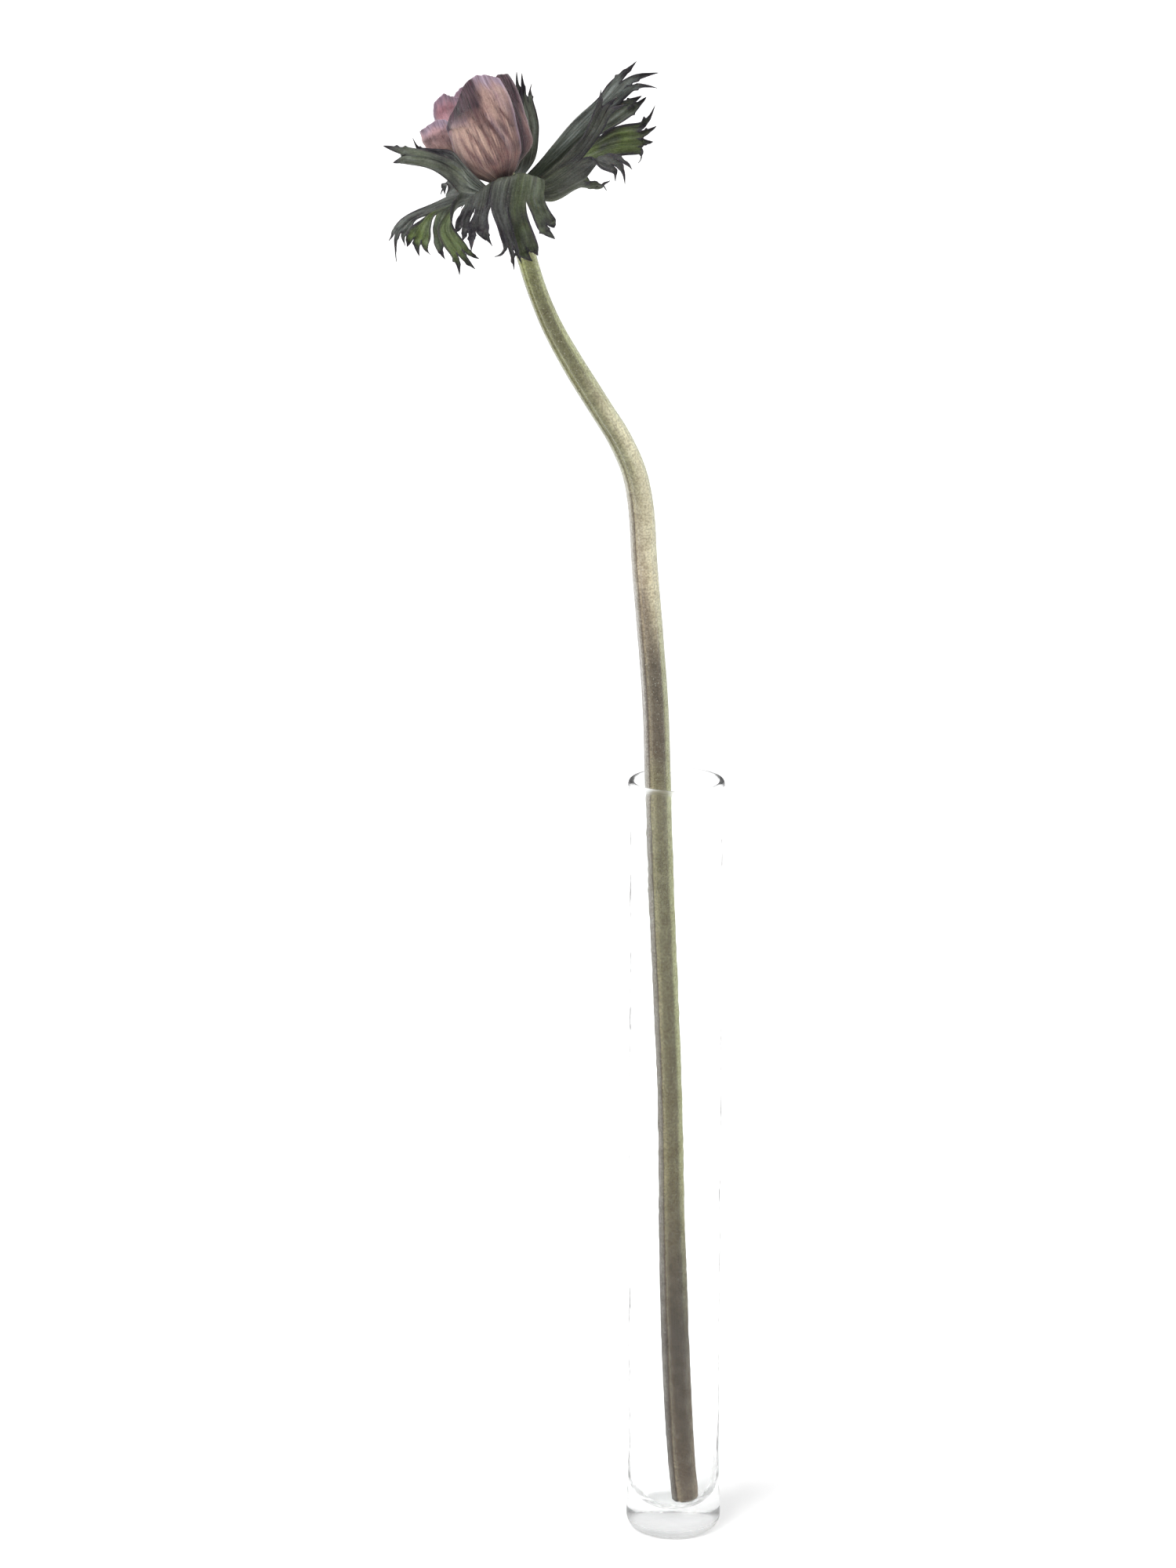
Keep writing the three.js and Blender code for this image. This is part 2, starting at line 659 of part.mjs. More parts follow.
function bract(spec) {
  const sheet = new Sheet();
  plateRows(spec).forEach((plate, k) => {
    const lobe = spec.lobes[k];
    const { rows, ahead } = lobeRows(lobe, plate.at(-1));
    sheet.addPatch(plate);
    sheet.addPatch(rows);
    lobe.tips.forEach((tip, n) => {
      sheet.addPatch(toothRows(rows.at(-1).slice(2 * n, 2 * n + 3), vec(...tip), ahead));
    });
  });
  return sheet.thicken(BLADE);
}

const anemone = new THREE.Group();
anemone.add(node("vase", vase(), GLASS));
anemone.add(node("stem", stem(), STEM_GREEN));

const involucre = new THREE.Group();
involucre.position.copy(HEAD);
for (const spec of BRACTS) involucre.add(node(spec.name, bract(spec), BRACT_GREEN));
anemone.add(involucre);

const bloom = new THREE.Group();
bloom.applyMatrix4(bloomFrame());
for (const spec of PETALS) bloom.add(node(spec.name, petal(spec), PETAL_ROSE));
bloom.add(node("centre", centre(), CENTRE_DARK));
anemone.add(bloom);

export default anemone;
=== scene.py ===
import math
import random
from functools import cache, cached_property

import bmesh
import bpy
from mathutils import Matrix, Vector, noise


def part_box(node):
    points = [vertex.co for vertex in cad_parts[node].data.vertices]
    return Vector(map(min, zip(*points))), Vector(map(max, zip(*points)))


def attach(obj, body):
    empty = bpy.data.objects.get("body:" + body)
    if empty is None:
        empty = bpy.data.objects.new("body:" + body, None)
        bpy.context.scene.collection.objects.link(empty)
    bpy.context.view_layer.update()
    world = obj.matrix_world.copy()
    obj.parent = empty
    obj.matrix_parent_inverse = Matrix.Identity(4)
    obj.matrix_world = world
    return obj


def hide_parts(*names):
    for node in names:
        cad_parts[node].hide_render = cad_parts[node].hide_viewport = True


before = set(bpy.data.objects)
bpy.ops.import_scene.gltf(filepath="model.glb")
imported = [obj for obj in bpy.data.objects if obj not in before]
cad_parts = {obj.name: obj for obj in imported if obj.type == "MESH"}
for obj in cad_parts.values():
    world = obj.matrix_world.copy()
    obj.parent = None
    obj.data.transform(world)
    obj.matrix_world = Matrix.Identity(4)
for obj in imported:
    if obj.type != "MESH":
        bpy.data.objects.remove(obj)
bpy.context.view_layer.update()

# A cut anemone in a clear glass tube vase. Each piece takes the place of the part's node of that name,
# on the same lines and with the same sizes, and has finer rows, relief, down and colour.
# Shapes are worked out in millimetres and stored in metres.

MM = 0.001
UP = Vector((0, 0, 1))
ALONG_X = Vector((1, 0, 0))

# Sizes shared with the part
GAP = 0.3
BLADE = 0.6
HEAD = Vector((-42.3, 1, 357.8))  # where the bracts join the stem
BLOOM_SEAT = Vector((-1.6, 0, 3.4))  # bloom's base, from HEAD
BLOOM_LEAN = (math.radians(3), math.radians(-21))
COLLAR_RADIUS = 2.6
SEAT_RADIUS = 3.0
SEAT_TOP = 3.0
PETAL_BASE_RADIUS = SEAT_RADIUS + GAP + BLADE / 2
CENTRE_FOOT = SEAT_TOP + 0.8 + GAP

# Thinner blades than the solids have, as thin as the real ones
PETAL_THICKNESS = 0.34
BRACT_THICKNESS = 0.4

BLOOM = (
    Matrix.Translation(HEAD + BLOOM_SEAT)
    @ Matrix.Rotation(BLOOM_LEAN[0], 4, "X")
    @ Matrix.Rotation(BLOOM_LEAN[1], 4, "Y")
)


def clamp(x, low=0.0, high=1.0):
    return min(high, max(low, x))


def smooth(x):
    x = clamp(x)
    return x * x * (3 - 2 * x)


def window(x, middle, spread):
    """1 at the middle, falling softly to 0 on both sides."""
    return math.exp(-(((x - middle) / spread) ** 2))


def wobble(x, y, z):
    """Smooth noise, from about -1 to 1."""
    return noise.noise(Vector((x, y, z)))


class Line:
    """A smooth line through points, followed by its share from 0 to 1."""

    def __init__(self, points, centripetal=True):
        self.points = [Vector(p) for p in points]
        self.centripetal = centripetal

    def at(self, share):
        spans = len(self.points) - 1
        place = clamp(share) * spans
        k = min(int(place), spans - 1)
        t = place - k
        p1 = self.points[k]
        p2 = self.points[k + 1]
        p0 = self.points[k - 1] if k else 2 * p1 - p2
        p3 = self.points[k + 2] if k + 2 <= spans else 2 * p2 - p1
        if self.centripetal:
            before, here, after = ((b - a).length ** 0.5 for a, b in ((p0, p1), (p1, p2), (p2, p3)))
            leave = ((p1 - p0) / before - (p2 - p0) / (before + here) + (p2 - p1) / here) * here
            arrive = ((p2 - p1) / here - (p3 - p1) / (here + after) + (p3 - p2) / after) * here
        else:
            leave = (p2 - p0) / 2
            arrive = (p3 - p1) / 2
        curve = 2 * p1 - 2 * p2 + leave + arrive
        bend = 3 * p2 - 3 * p1 - 2 * leave - arrive
        return p1 + leave * t + bend * t**2 + curve * t**3

    def ahead(self, share, step=1e-4):
        return (self.at(share + step) - self.at(share - step)).normalized()

    def even_shares(self, count, steps=600):
        """count + 1 shares that cut the line into equal lengths."""
        marks = [self.at(i / steps) for i in range(steps + 1)]
        lengths = [0.0]
        for a, b in zip(marks, marks[1:]):
            lengths.append(lengths[-1] + (b - a).length)
        shares = []
        k = 0
        for i in range(count + 1):
            goal = lengths[-1] * i / count
            while k < steps - 1 and lengths[k + 1] < goal:
                k += 1
            shares.append((k + (goal - lengths[k]) / (lengths[k + 1] - lengths[k])) / steps)
        return shares


# Mesh making


class Blade:
    """A sheet under construction: grids placed by a formula, with relief and tones at each point."""

    def __init__(self, *tones):
        self.mesh = bmesh.new()
        self.uv = self.mesh.loops.layers.uv.new("UVMap")
        self.relief = self.mesh.verts.layers.float.new("relief")
        self.fullness = self.mesh.verts.layers.deform.new()
        self.tones = [self.mesh.verts.layers.float_color.new(name) for name in tones]

    def lay(self, columns, rows, place):
        """place(across, along) gives a point, its uv, relief, fullness and tones.

        across runs from -1 to 1 and along from 0 to 1.
        """
        made = bmesh.ops.create_grid(self.mesh, x_segments=columns, y_segments=rows, size=1)["verts"]
        flat = {}
        for vertex in made:
            point, uv, relief, fullness, tones = place(vertex.co.x, (vertex.co.y + 1) / 2)
            vertex.co = point * MM
            vertex[self.relief] = relief
            vertex[self.fullness][0] = fullness
            for layer, tone in zip(self.tones, tones):
                vertex[layer] = tone
            flat[vertex] = uv
        for face in {face for vertex in made for face in vertex.link_faces}:
            for loop in face.loops:
                loop[self.uv].uv = flat[loop.vert]

    def settle(self):
        """Joins the grids and raises the relief from the surface."""
        bmesh.ops.remove_doubles(self.mesh, verts=self.mesh.verts[:], dist=2e-6)
        self.mesh.normal_update()
        for vertex in self.mesh.verts:
            vertex.co += vertex.normal * (vertex[self.relief] * MM)
        self.mesh.verts.layers.float.remove(self.relief)
        return self.mesh


def put(name, data):
    """A new object in the scene."""
    made = bpy.data.objects.new(name, data)
    bpy.context.scene.collection.objects.link(made)
    return made


def finished(name, mesh, finishes):
    """A built mesh as smooth data with its finishes."""
    data = bpy.data.meshes.new(name)
    mesh.to_mesh(data)
    mesh.free()
    for finish in finishes:
        data.materials.append(finish)
    data.shade_smooth()
    return data


def piece(name, mesh, finishes, node=None):
    """A built mesh as a piece of the flower or the glass, in the place of its node."""
    made = put(name, finished(name, mesh, finishes))
    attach(made, "root")
    if node:
        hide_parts(node)
    return made


def give_thickness(blade, thickness):
    """Both faces of a blade, thinner at its edges; the face away from its normals takes the next finish."""
    blade.vertex_groups.new(name="fullness")
    wall = blade.modifiers.new("thickness", "SOLIDIFY")
    wall.thickness = thickness * MM
    wall.offset = 0
    wall.material_offset = 1
    wall.vertex_group = "fullness"
    wall.thickness_vertex_group = 0.3


# Finish making


class Nodes:
    """Short calls that add nodes to a tree; each gives back its output socket."""

    def __init__(self, tree):
        self.tree = tree

    def fill(self, node, inputs):
        for key, value in inputs.items():
            if isinstance(value, bpy.types.NodeSocket):
                self.tree.links.new(value, node.inputs[key])
            else:
                node.inputs[key].default_value = value

    def add(self, kind, inputs, output=0, **settings):
        node = self.tree.nodes.new("ShaderNode" + kind)
        for key, value in settings.items():
            setattr(node, key, value)
        self.fill(node, inputs)
        return node.outputs[output]

    def math(self, operation, a, b=0.0):
        return self.add("Math", {0: a, 1: b}, operation=operation)

    def plus(self, a, b):
        return self.math("ADD", a, b)

    def minus(self, a, b):
        return self.math("SUBTRACT", a, b)

    def times(self, a, b):
        return self.math("MULTIPLY", a, b)

    def apart(self, a, b):
        return self.math("ABSOLUTE", self.minus(a, b))

    def coordinate(self, vector, axis):
        return self.add("SeparateXYZ", {"Vector": vector}, output="XYZ".index(axis))

    def mix(self, share, a, b, blend="MIX"):
        a, b = (c if isinstance(c, bpy.types.NodeSocket) else (*c, 1) for c in (a, b))
        return self.add("Mix", {0: share, 6: a, 7: b}, output=2, data_type="RGBA", blend_type=blend)

    def tint(self, colour, by, share=1.0):
        return self.mix(share, colour, by, "MULTIPLY")

    def between(self, value, low, high, to_low=0.0, to_high=1.0):
        inputs = {"Value": value, "From Min": low, "From Max": high, "To Min": to_low, "To Max": to_high}
        return self.add("MapRange", inputs, interpolation_type="SMOOTHSTEP")

    def scaled(self, share, low, high):
        return self.between(share, 0.0, 1.0, low, high)

    def noise(self, vector, scale, detail=3.0, rough=0.5):
        inputs = {"Vector": vector, "Scale": scale, "Detail": detail, "Roughness": rough}
        return self.add("TexNoise", inputs)

    def ramp(self, share, stops):
        socket = self.add("ValToRGB", {"Fac": share})
        band = socket.node.color_ramp
        while len(band.elements) < len(stops):
            band.elements.new(1.0)
        for element, (place, colour) in zip(band.elements, stops):
            element.position = place
            element.color = (*colour, 1.0)
        return socket


class Finish(Nodes):
    """A new material and its nodes; constants are set on the shader's own sockets."""

    def __init__(self, name, **constants):
        self.material = bpy.data.materials.new(name)
        self.material.use_nodes = True
        super().__init__(self.material.node_tree)
        self.shader = self.tree.nodes["Principled BSDF"]
        for key, value in constants.items():
            self.shader.inputs[key.replace("_", " ").title().replace("Ior", "IOR")].default_value = value
        self.place = self.add("TexCoord", {}, output=3)

    @cached_property
    def surface(self):
        return self.add("UVMap", {}, uv_map="UVMap")

    def fibres(self, across, along, wander):
        """Streaks and lines along the piece, this many across it and along it."""
        inputs = {"Surface": self.surface, "Across": across, "Along": along, "Wander": wander}
        return self.add("Group", inputs, node_tree=long_fibres()).node.outputs[:]

    def tissue(self, blotch=220.0, grain=4200.0):
        """Blotches and cells, this many to a metre."""
        inputs = {"Place": self.place, "Blotch": blotch, "Grain": grain}
        return self.add("Group", inputs, node_tree=plant_tissue()).node.outputs[:]

    def tones(self, name):
        """The three channels of a piece's own tones, and its alpha."""
        own = self.add("Attribute", {}, attribute_name=name).node.outputs
        split = self.add("SeparateColor", {"Color": own["Color"]}).node.outputs
        return [*split, own["Alpha"]]

    def connect(self, colour=None, roughness=None, height=None, relief=0.0001, strength=1.0):
        """Joins colour, roughness and relief to the shader, and gives the finished material."""
        joined = {"Base Color": colour, "Roughness": roughness}
        if height is not None:
            raised = {"Height": height, "Distance": relief, "Strength": strength}
            joined["Normal"] = self.add("Bump", raised)
        self.fill(self.shader, {label: socket for label, socket in joined.items() if socket is not None})
        return self.material


def new_group(name, inputs, outputs):
    """A node group with named inputs, given as name and value, and named value outputs."""
    tree = bpy.data.node_groups.new(name, "ShaderNodeTree")
    for label, value in inputs.items():
        kind = "NodeSocketVector" if value is None else "NodeSocketFloat"
        socket = tree.interface.new_socket(label, in_out="INPUT", socket_type=kind)
        if value is not None:
            socket.default_value = value
    for label in outputs:
        tree.interface.new_socket(label, in_out="OUTPUT", socket_type="NodeSocketFloat")
    entry = tree.nodes.new("NodeGroupInput")
    leave = tree.nodes.new("NodeGroupOutput")
    return Nodes(tree), entry.outputs, leave


@cache
def long_fibres():
    """Streaks and thin lines that run along a blade or a stem, on its own uv."""
    inputs = {"Surface": None, "Across": 20.0, "Along": 2.0, "Wander": 0.03}
    nodes, given, result = new_group("long fibres", inputs, ["Streaks", "Lines"])
    drift = nodes.times(nodes.minus(nodes.noise(given["Surface"], 3.0, 2.0), 0.5), given["Wander"])
    aside = nodes.add("CombineXYZ", {"X": drift})
    moved = nodes.add("VectorMath", {0: given["Surface"], 1: aside}, operation="ADD")
    density = nodes.add("CombineXYZ", {"X": given["Across"], "Y": given["Along"], "Z": 1.0})
    drawn = nodes.add("VectorMath", {0: moved, 1: density}, operation="MULTIPLY")
    streaks = nodes.between(nodes.noise(drawn, 1.0, 4.0, 0.6), 0.3, 0.7)
    lines = nodes.between(nodes.apart(nodes.noise(drawn, 2.3, 2.0, 0.4), 0.5), 0.035, 0.0)
    nodes.fill(result, {"Streaks": streaks, "Lines": lines})
    return nodes.tree


@cache
def plant_tissue():
    """Soft blotches and the fine grain of cells and down, on the object's own place."""
    inputs = {"Place": None, "Blotch": 220.0, "Grain": 4200.0}
    nodes, given, result = new_group("plant tissue", inputs, ["Blotches", "Cells"])
    blotches = nodes.between(nodes.noise(given["Place"], given["Blotch"], 3.0), 0.32, 0.68)
    cells = nodes.between(nodes.noise(given["Place"], given["Grain"], 2.0), 0.3, 0.7)
    nodes.fill(result, {"Blotches": blotches, "Cells": cells})
    return nodes.tree


# Finishes

GLASS_TINT = (0.985, 0.992, 0.99, 1)
FLOWER_HEIGHT = 0.372  # metres
STEM_BODY = [  # by height as a share of the flower's, from the cut end to the head
    (0.0, (0.15, 0.118, 0.085)),
    (0.03, (0.1, 0.076, 0.053)),
    (0.06, (0.072, 0.055, 0.037)),
    (0.15, (0.048, 0.037, 0.026)),
    (0.2, (0.07, 0.056, 0.035)),
    (0.27, (0.115, 0.099, 0.05)),
    (0.38, (0.125, 0.113, 0.064)),
    (0.49, (0.137, 0.128, 0.072)),
    (0.55, (0.135, 0.122, 0.072)),
    (0.575, (0.095, 0.077, 0.053)),
    (0.63, (0.085, 0.069, 0.047)),
    (0.675, (0.17, 0.135, 0.095)),
    (0.695, (0.37, 0.32, 0.24)),
    (0.74, (0.3, 0.275, 0.195)),
    (0.77, (0.2, 0.2, 0.12)),
    (0.83, (0.13, 0.13, 0.062)),
    (0.88, (0.12, 0.118, 0.053)),
    (0.93, (0.19, 0.205, 0.075)),
    (1.0, (0.18, 0.21, 0.075)),
]
STRIPE_SUNK = [(0.1, (0.4, 0.38, 0.35)), (0.5, (1.0, 1.0, 1.0))]  # darker low down
# Shares of the turn round the stem where each of its bands has its middle
STRIPE_TURN = 0.59
FLANK_TURN = 0.87
# the pale green right edge is painted rim light
PAINTED_RIM_LIGHT_TURN = 0.95
# Pale bands round the stem and their turn: painted shade and rim light, with a darker valley on its shaded
# core
PAINTED_LIGHT_BANDS = 3
PAINTED_CORE_SHADE_SHIFT = 0.127


def glass_finish():
    """Clear glass with faint waves and smears, a little worn at its foot and its lip."""
    nodes = Finish("clear blown glass", base_color=GLASS_TINT, transmission_weight=1.0, ior=1.2)
    height = nodes.coordinate(nodes.place, "Z")
    smears = nodes.between(nodes.noise(nodes.place, 90.0, 4.0), 0.55, 0.8, 0.0, 0.04)
    worn_foot = nodes.between(height, 0.0065, 0.0015, 0.0, 0.3)
    worn_lip = nodes.between(height, 0.2035, 0.2057, 0.0, 0.4)
    roughness = nodes.plus(smears, nodes.plus(worn_foot, worn_lip))
    drawn_out = nodes.add("Mapping", {"Vector": nodes.place, "Scale": (1, 1, 0.4)})
    waves = nodes.noise(drawn_out, 190.0, 3.0)
    return nodes.connect(roughness=roughness, height=waves, relief=0.0005, strength=0.4)


def stem_finish():
    nodes = Finish("stem skin with down", sheen_roughness=0.4)
    share = nodes.math("DIVIDE", nodes.coordinate(nodes.place, "Z"), FLOWER_HEIGHT)
    turn = nodes.coordinate(nodes.surface, "X")
    wavy = nodes.times(nodes.minus(nodes.noise(nodes.place, 60.0), 0.5), 0.03)
    body = nodes.ramp(nodes.plus(share, wavy), STEM_BODY)
    streaks, _ = nodes.fibres(38.0, 7.0, 0.012)
    blotches, cells = nodes.tissue(300.0, 1900.0)
    bend = nodes.times(nodes.between(share, 0.63, 0.69), nodes.between(share, 0.85, 0.79))
    low = nodes.between(share, 0.79, 0.72)
    # painted shade and rim light: pale bands between darker valleys, turned so that a darker valley lies on
    # the stem's shaded core and pale bands on its lit sides; all round but fainter at the bend
    painted_band_wave = nodes.math("SINE", nodes.times(nodes.plus(turn, PAINTED_CORE_SHADE_SHIFT), math.tau * PAINTED_LIGHT_BANDS))
    painted_band_light = nodes.between(painted_band_wave, -0.8, 1.0, 0.0, 0.7)
    painted_band_light = nodes.times(painted_band_light, nodes.minus(1.0, nodes.times(bend, 0.8)))
    body = nodes.tint(body, (2.2, 2.3, 2.2), painted_band_light)
    # a mauve-grey stripe down the left, with painted shade along the furrow at its edge and a pale ledge
    # along it
    aside = nodes.apart(turn, STRIPE_TURN)
    straight = nodes.mix(streaks, (0.17, 0.155, 0.145), (0.3, 0.285, 0.27))
    bent = nodes.mix(streaks, (0.17, 0.155, 0.13), (0.28, 0.26, 0.22))
    mauve = nodes.mix(nodes.between(share, 0.6, 0.66), straight, bent)
    mauve = nodes.tint(mauve, nodes.ramp(share, STRIPE_SUNK))
    stripe = nodes.times(nodes.between(aside, 0.07, 0.05), low)
    body = nodes.mix(nodes.times(stripe, 0.85), body, mauve)
    # painted shade: darker along the furrow at the stripe's edge
    crease_with_painted_light = nodes.between(nodes.apart(aside, 0.055), 0.012, 0.002, 0.0, 0.8)
    body = nodes.tint(body, (0.45, 0.38, 0.36), crease_with_painted_light)
    ledge = nodes.between(nodes.apart(aside, 0.078), 0.012, 0.003, 0.0, 0.3)
    body = nodes.mix(nodes.times(ledge, low), body, (0.3, 0.27, 0.21))
    # a pale green right edge as painted rim light, and a cream right flank round the bend
    edge = nodes.between(nodes.apart(turn, PAINTED_RIM_LIGHT_TURN), 0.11, 0.05)
    edge = nodes.times(edge, nodes.between(share, 0.12, 0.35, 0.0, 0.75))
    body = nodes.mix(edge, body, (0.36, 0.39, 0.21))
    flank = nodes.between(nodes.apart(turn, FLANK_TURN), 0.16, 0.02, 0.0, 0.8)
    body = nodes.mix(nodes.times(flank, bend), body, (0.58, 0.55, 0.4))
    # fine streaks, soft blotches and the grain and specks of the down
    body = nodes.tint(body, (1.3, 1.28, 1.2), nodes.times(streaks, 0.7))
    body = nodes.tint(body, (0.6, 0.54, 0.48), nodes.times(blotches, 0.45))
    body = nodes.tint(body, nodes.mix(cells, (0.72, 0.7, 0.66), (1.3, 1.3, 1.28)))
    downy = nodes.between(share, 0.4, 0.65, 0.15, 1.0)
    nodes.fill(nodes.shader, {"Sheen Weight": downy})
    specks = nodes.between(nodes.noise(nodes.place, 2300.0, 1.0), 0.64, 0.74, 0.0, 0.35)
    body = nodes.mix(nodes.times(specks, downy), body, (0.62, 0.6, 0.5))
    grain = nodes.plus(streaks, nodes.times(cells, 0.8))
    return nodes.connect(body, nodes.scaled(blotches, 0.46, 0.68), grain)


def cut_end_finish():
    nodes = Finish("cut stem end", sheen_weight=0.0)
    blotches, cells = nodes.tissue(900.0)
    colour = nodes.mix(blotches, (0.34, 0.3, 0.24), (0.52, 0.47, 0.38))
    return nodes.connect(colour, nodes.scaled(cells, 0.5, 0.75), cells)


def petal_finish(name, tan, rose, depth):
    """tan and rose are the two tissue colours; depth is how dark the veins are drawn."""
    scattered = dict(subsurface_weight=0.35, subsurface_scale=0.0008, subsurface_radius=(1, 0.7, 0.7))
    nodes = Finish(name, sheen_weight=0.3, sheen_roughness=0.4, specular_ior_level=0.3, **scattered)
    dusk_and_painted_shade, rim, vein, warmth = nodes.tones("petal_tones")
    bands, _ = nodes.fibres(15.0, 1.8, 0.1)
    streaks, lines = nodes.fibres(36.0, 2.6, 0.08)
    blotches, cells = nodes.tissue(260.0, 2600.0)
    # pink, tan or ochre tissue with rosy bands
    colour = nodes.ramp(warmth, [(0.0, (0.62, 0.4, 0.46)), (0.45, tan), (1.0, (0.52, 0.39, 0.24))])
    colour = nodes.mix(nodes.times(bands, nodes.scaled(blotches, 0.35, 0.9)), colour, rose)
    # wine-coloured veins with maroon lines in them
    wine = nodes.mix(blotches, (0.135, 0.06, 0.06), (0.075, 0.034, 0.038))
    soaked = nodes.times(vein, nodes.scaled(streaks, 0.7, 1.0))
    colour = nodes.mix(nodes.times(soaked, depth), colour, wine)
    colour = nodes.tint(colour, (0.3, 0.2, 0.22), nodes.times(lines, nodes.scaled(vein, 0.35, 0.9)))
    # silky streaks and the powder of cells
    colour = nodes.tint(colour, (1.22, 1.2, 1.18), streaks)
    colour = nodes.tint(colour, nodes.mix(cells, (0.88, 0.87, 0.88), (1.12, 1.12, 1.1)))
    # lilac rims, with painted highlight on the margins and on rising creases, and dusky patches that are
    # partly painted shade
    lilac = nodes.mix(streaks, (0.16, 0.12, 0.17), (0.42, 0.35, 0.45))
    colour = nodes.mix(nodes.times(rim, 0.85), colour, lilac)
    # charcoal where the dusky tone is: partly the petal's own colour, partly painted shade
    charcoal = nodes.mix(streaks, (0.006, 0.004, 0.006), (0.085, 0.042, 0.058))
    colour = nodes.mix(nodes.times(nodes.math("POWER", dusk_and_painted_shade, 0.8), depth), colour, charcoal)
    height = nodes.plus(nodes.minus(nodes.times(streaks, 0.7), lines), nodes.times(cells, 0.35))
    return nodes.connect(colour, nodes.scaled(streaks, 0.48, 0.7), height, relief=0.00006)


def bract_finish(name, tones, grey, green, rib_shade):
    """One side of the bracts: grey tissue that turns green, pale or dark as its tones say; pale holds
    painted highlight on fold tops and dark holds painted shade in fold valleys.
    """
    scattered = dict(subsurface_weight=0.06, subsurface_scale=0.0008)
    nodes = Finish(name, sheen_weight=0.07, sheen_roughness=0.3, specular_ior_level=0.3, **scattered)
    greenness, pale, dark, rib = nodes.tones(tones)
    streaks, lines = nodes.fibres(2.4, 0.9, 0.5)
    _, hairs = nodes.fibres(17.0, 7.0, 1.5)
    blotches, cells = nodes.tissue(330.0, 2400.0)
    colour = nodes.mix(blotches, Vector(grey) * 1.2, Vector(grey) * 0.72)
    colour = nodes.mix(greenness, colour, nodes.mix(streaks, Vector(green) * 0.7, Vector(green) * 1.4))
    # pale: real pale tissue, and painted highlight on fold tops
    ashen = nodes.mix(streaks, (0.125, 0.14, 0.125), (0.27, 0.295, 0.28))
    colour = nodes.mix(pale, colour, ashen)
    colour = nodes.tint(colour, rib_shade, rib)
    colour = nodes.tint(colour, (0.4, 0.44, 0.38), nodes.times(lines, 0.12))
    # dark: real dark tips and margins, and painted shade in fold valleys
    dusky = nodes.mix(streaks, (0.005, 0.004, 0.008), (0.036, 0.03, 0.04))
    colour = nodes.mix(dark, colour, dusky)
    down = nodes.times(hairs, nodes.between(cells, 0.1, 0.9, 0.03, 0.3))
    colour = nodes.mix(down, colour, (0.2, 0.215, 0.18))
    colour = nodes.tint(colour, nodes.mix(cells, (0.88, 0.88, 0.88), (1.12, 1.12, 1.12)))
    height = nodes.times(nodes.plus(nodes.minus(streaks, lines), cells), 0.4)
    return nodes.connect(colour, nodes.scaled(blotches, 0.45, 0.68), height, relief=0.00008)


def down_finish():
    nodes = Finish("white down", sheen_weight=0.5)
    blotches, _ = nodes.tissue()
    colour = nodes.mix(blotches, (0.62, 0.61, 0.54), (0.78, 0.77, 0.7))
    return nodes.connect(colour, nodes.scaled(blotches, 0.5, 0.7))


def centre_finish(name, dark, dusty):
    nodes = Finish(name, sheen_weight=0.4)
    blotches, cells = nodes.tissue(900.0)
    colour = nodes.mix(nodes.times(blotches, 0.6), dark, dusty)
    colour = nodes.mix(nodes.times(cells, 0.25), colour, dusty)
    return nodes.connect(colour, nodes.scaled(cells, 0.55, 0.85), cells, relief=0.00005)


# Vase

VASE_SIDES = 128
VASE_STEPS = 5  # between two points of its outline
VASE_WALL = 1.4
ROLL = 0.3  # how far the lip and the heel stand out past the tube
LIP_WALL = 1.7
HEEL_ROUND = 2.1  # how far the flat foot lies in from the heel
FLOOR_TOP = 5.7


def vase():
    """A straight tube with a rolled lip and a thick floor with a rounded inner corner."""
    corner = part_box("vase")[1] / MM
    height = corner.z
    lip = corner.x
    tube = lip - ROLL
    foot = lip - HEEL_ROUND
    bore = tube - VASE_WALL
    throat = lip - LIP_WALL
    # radius and height, up the outside and down the inside
    outline = [(foot, 0), (lip - 0.7, 0.8), (lip, 2.6), (lip - 0.02, 6), (tube, 14), (tube, height / 2)]
    outline += [(tube, height - 6), (lip, height - 1.4), (lip - 0.3, height - 0.3), (lip - 0.85, height)]
    outline += [(throat + 0.2, height - 0.3), (throat, height - 1.4), (bore, height - 6)]
    outline += [(bore, height / 2), (bore, 26), (bore - 0.3, 16), (bore - 1.2, 10.5), (bore - 3.2, 7.6)]
    outline += [(bore - 6.4, 6.1)]
    line = Line([(radius, 0, z) for radius, z in outline])
    steps = VASE_STEPS * (len(outline) - 1)
    wall = [line.at(i / steps) for i in range(steps + 1)]
    mesh = bmesh.new()
    dots = [mesh.verts.new(point * MM) for point in [Vector((0, 0, 0)), *wall, Vector((0, 0, FLOOR_TOP))]]
    edges = [mesh.edges.new(pair) for pair in zip(dots, dots[1:])]
    turned = dict(cent=(0, 0, 0), axis=UP, angle=math.tau, steps=VASE_SIDES, use_merge=True)
    bmesh.ops.spin(mesh, geom=dots + edges, **turned)
    bmesh.ops.remove_doubles(mesh, verts=mesh.verts[:], dist=1e-6)
    bmesh.ops.recalc_face_normals(mesh, faces=mesh.faces[:])
    piece("glass_tube", mesh, [glass_finish()], "vase")


# Stem

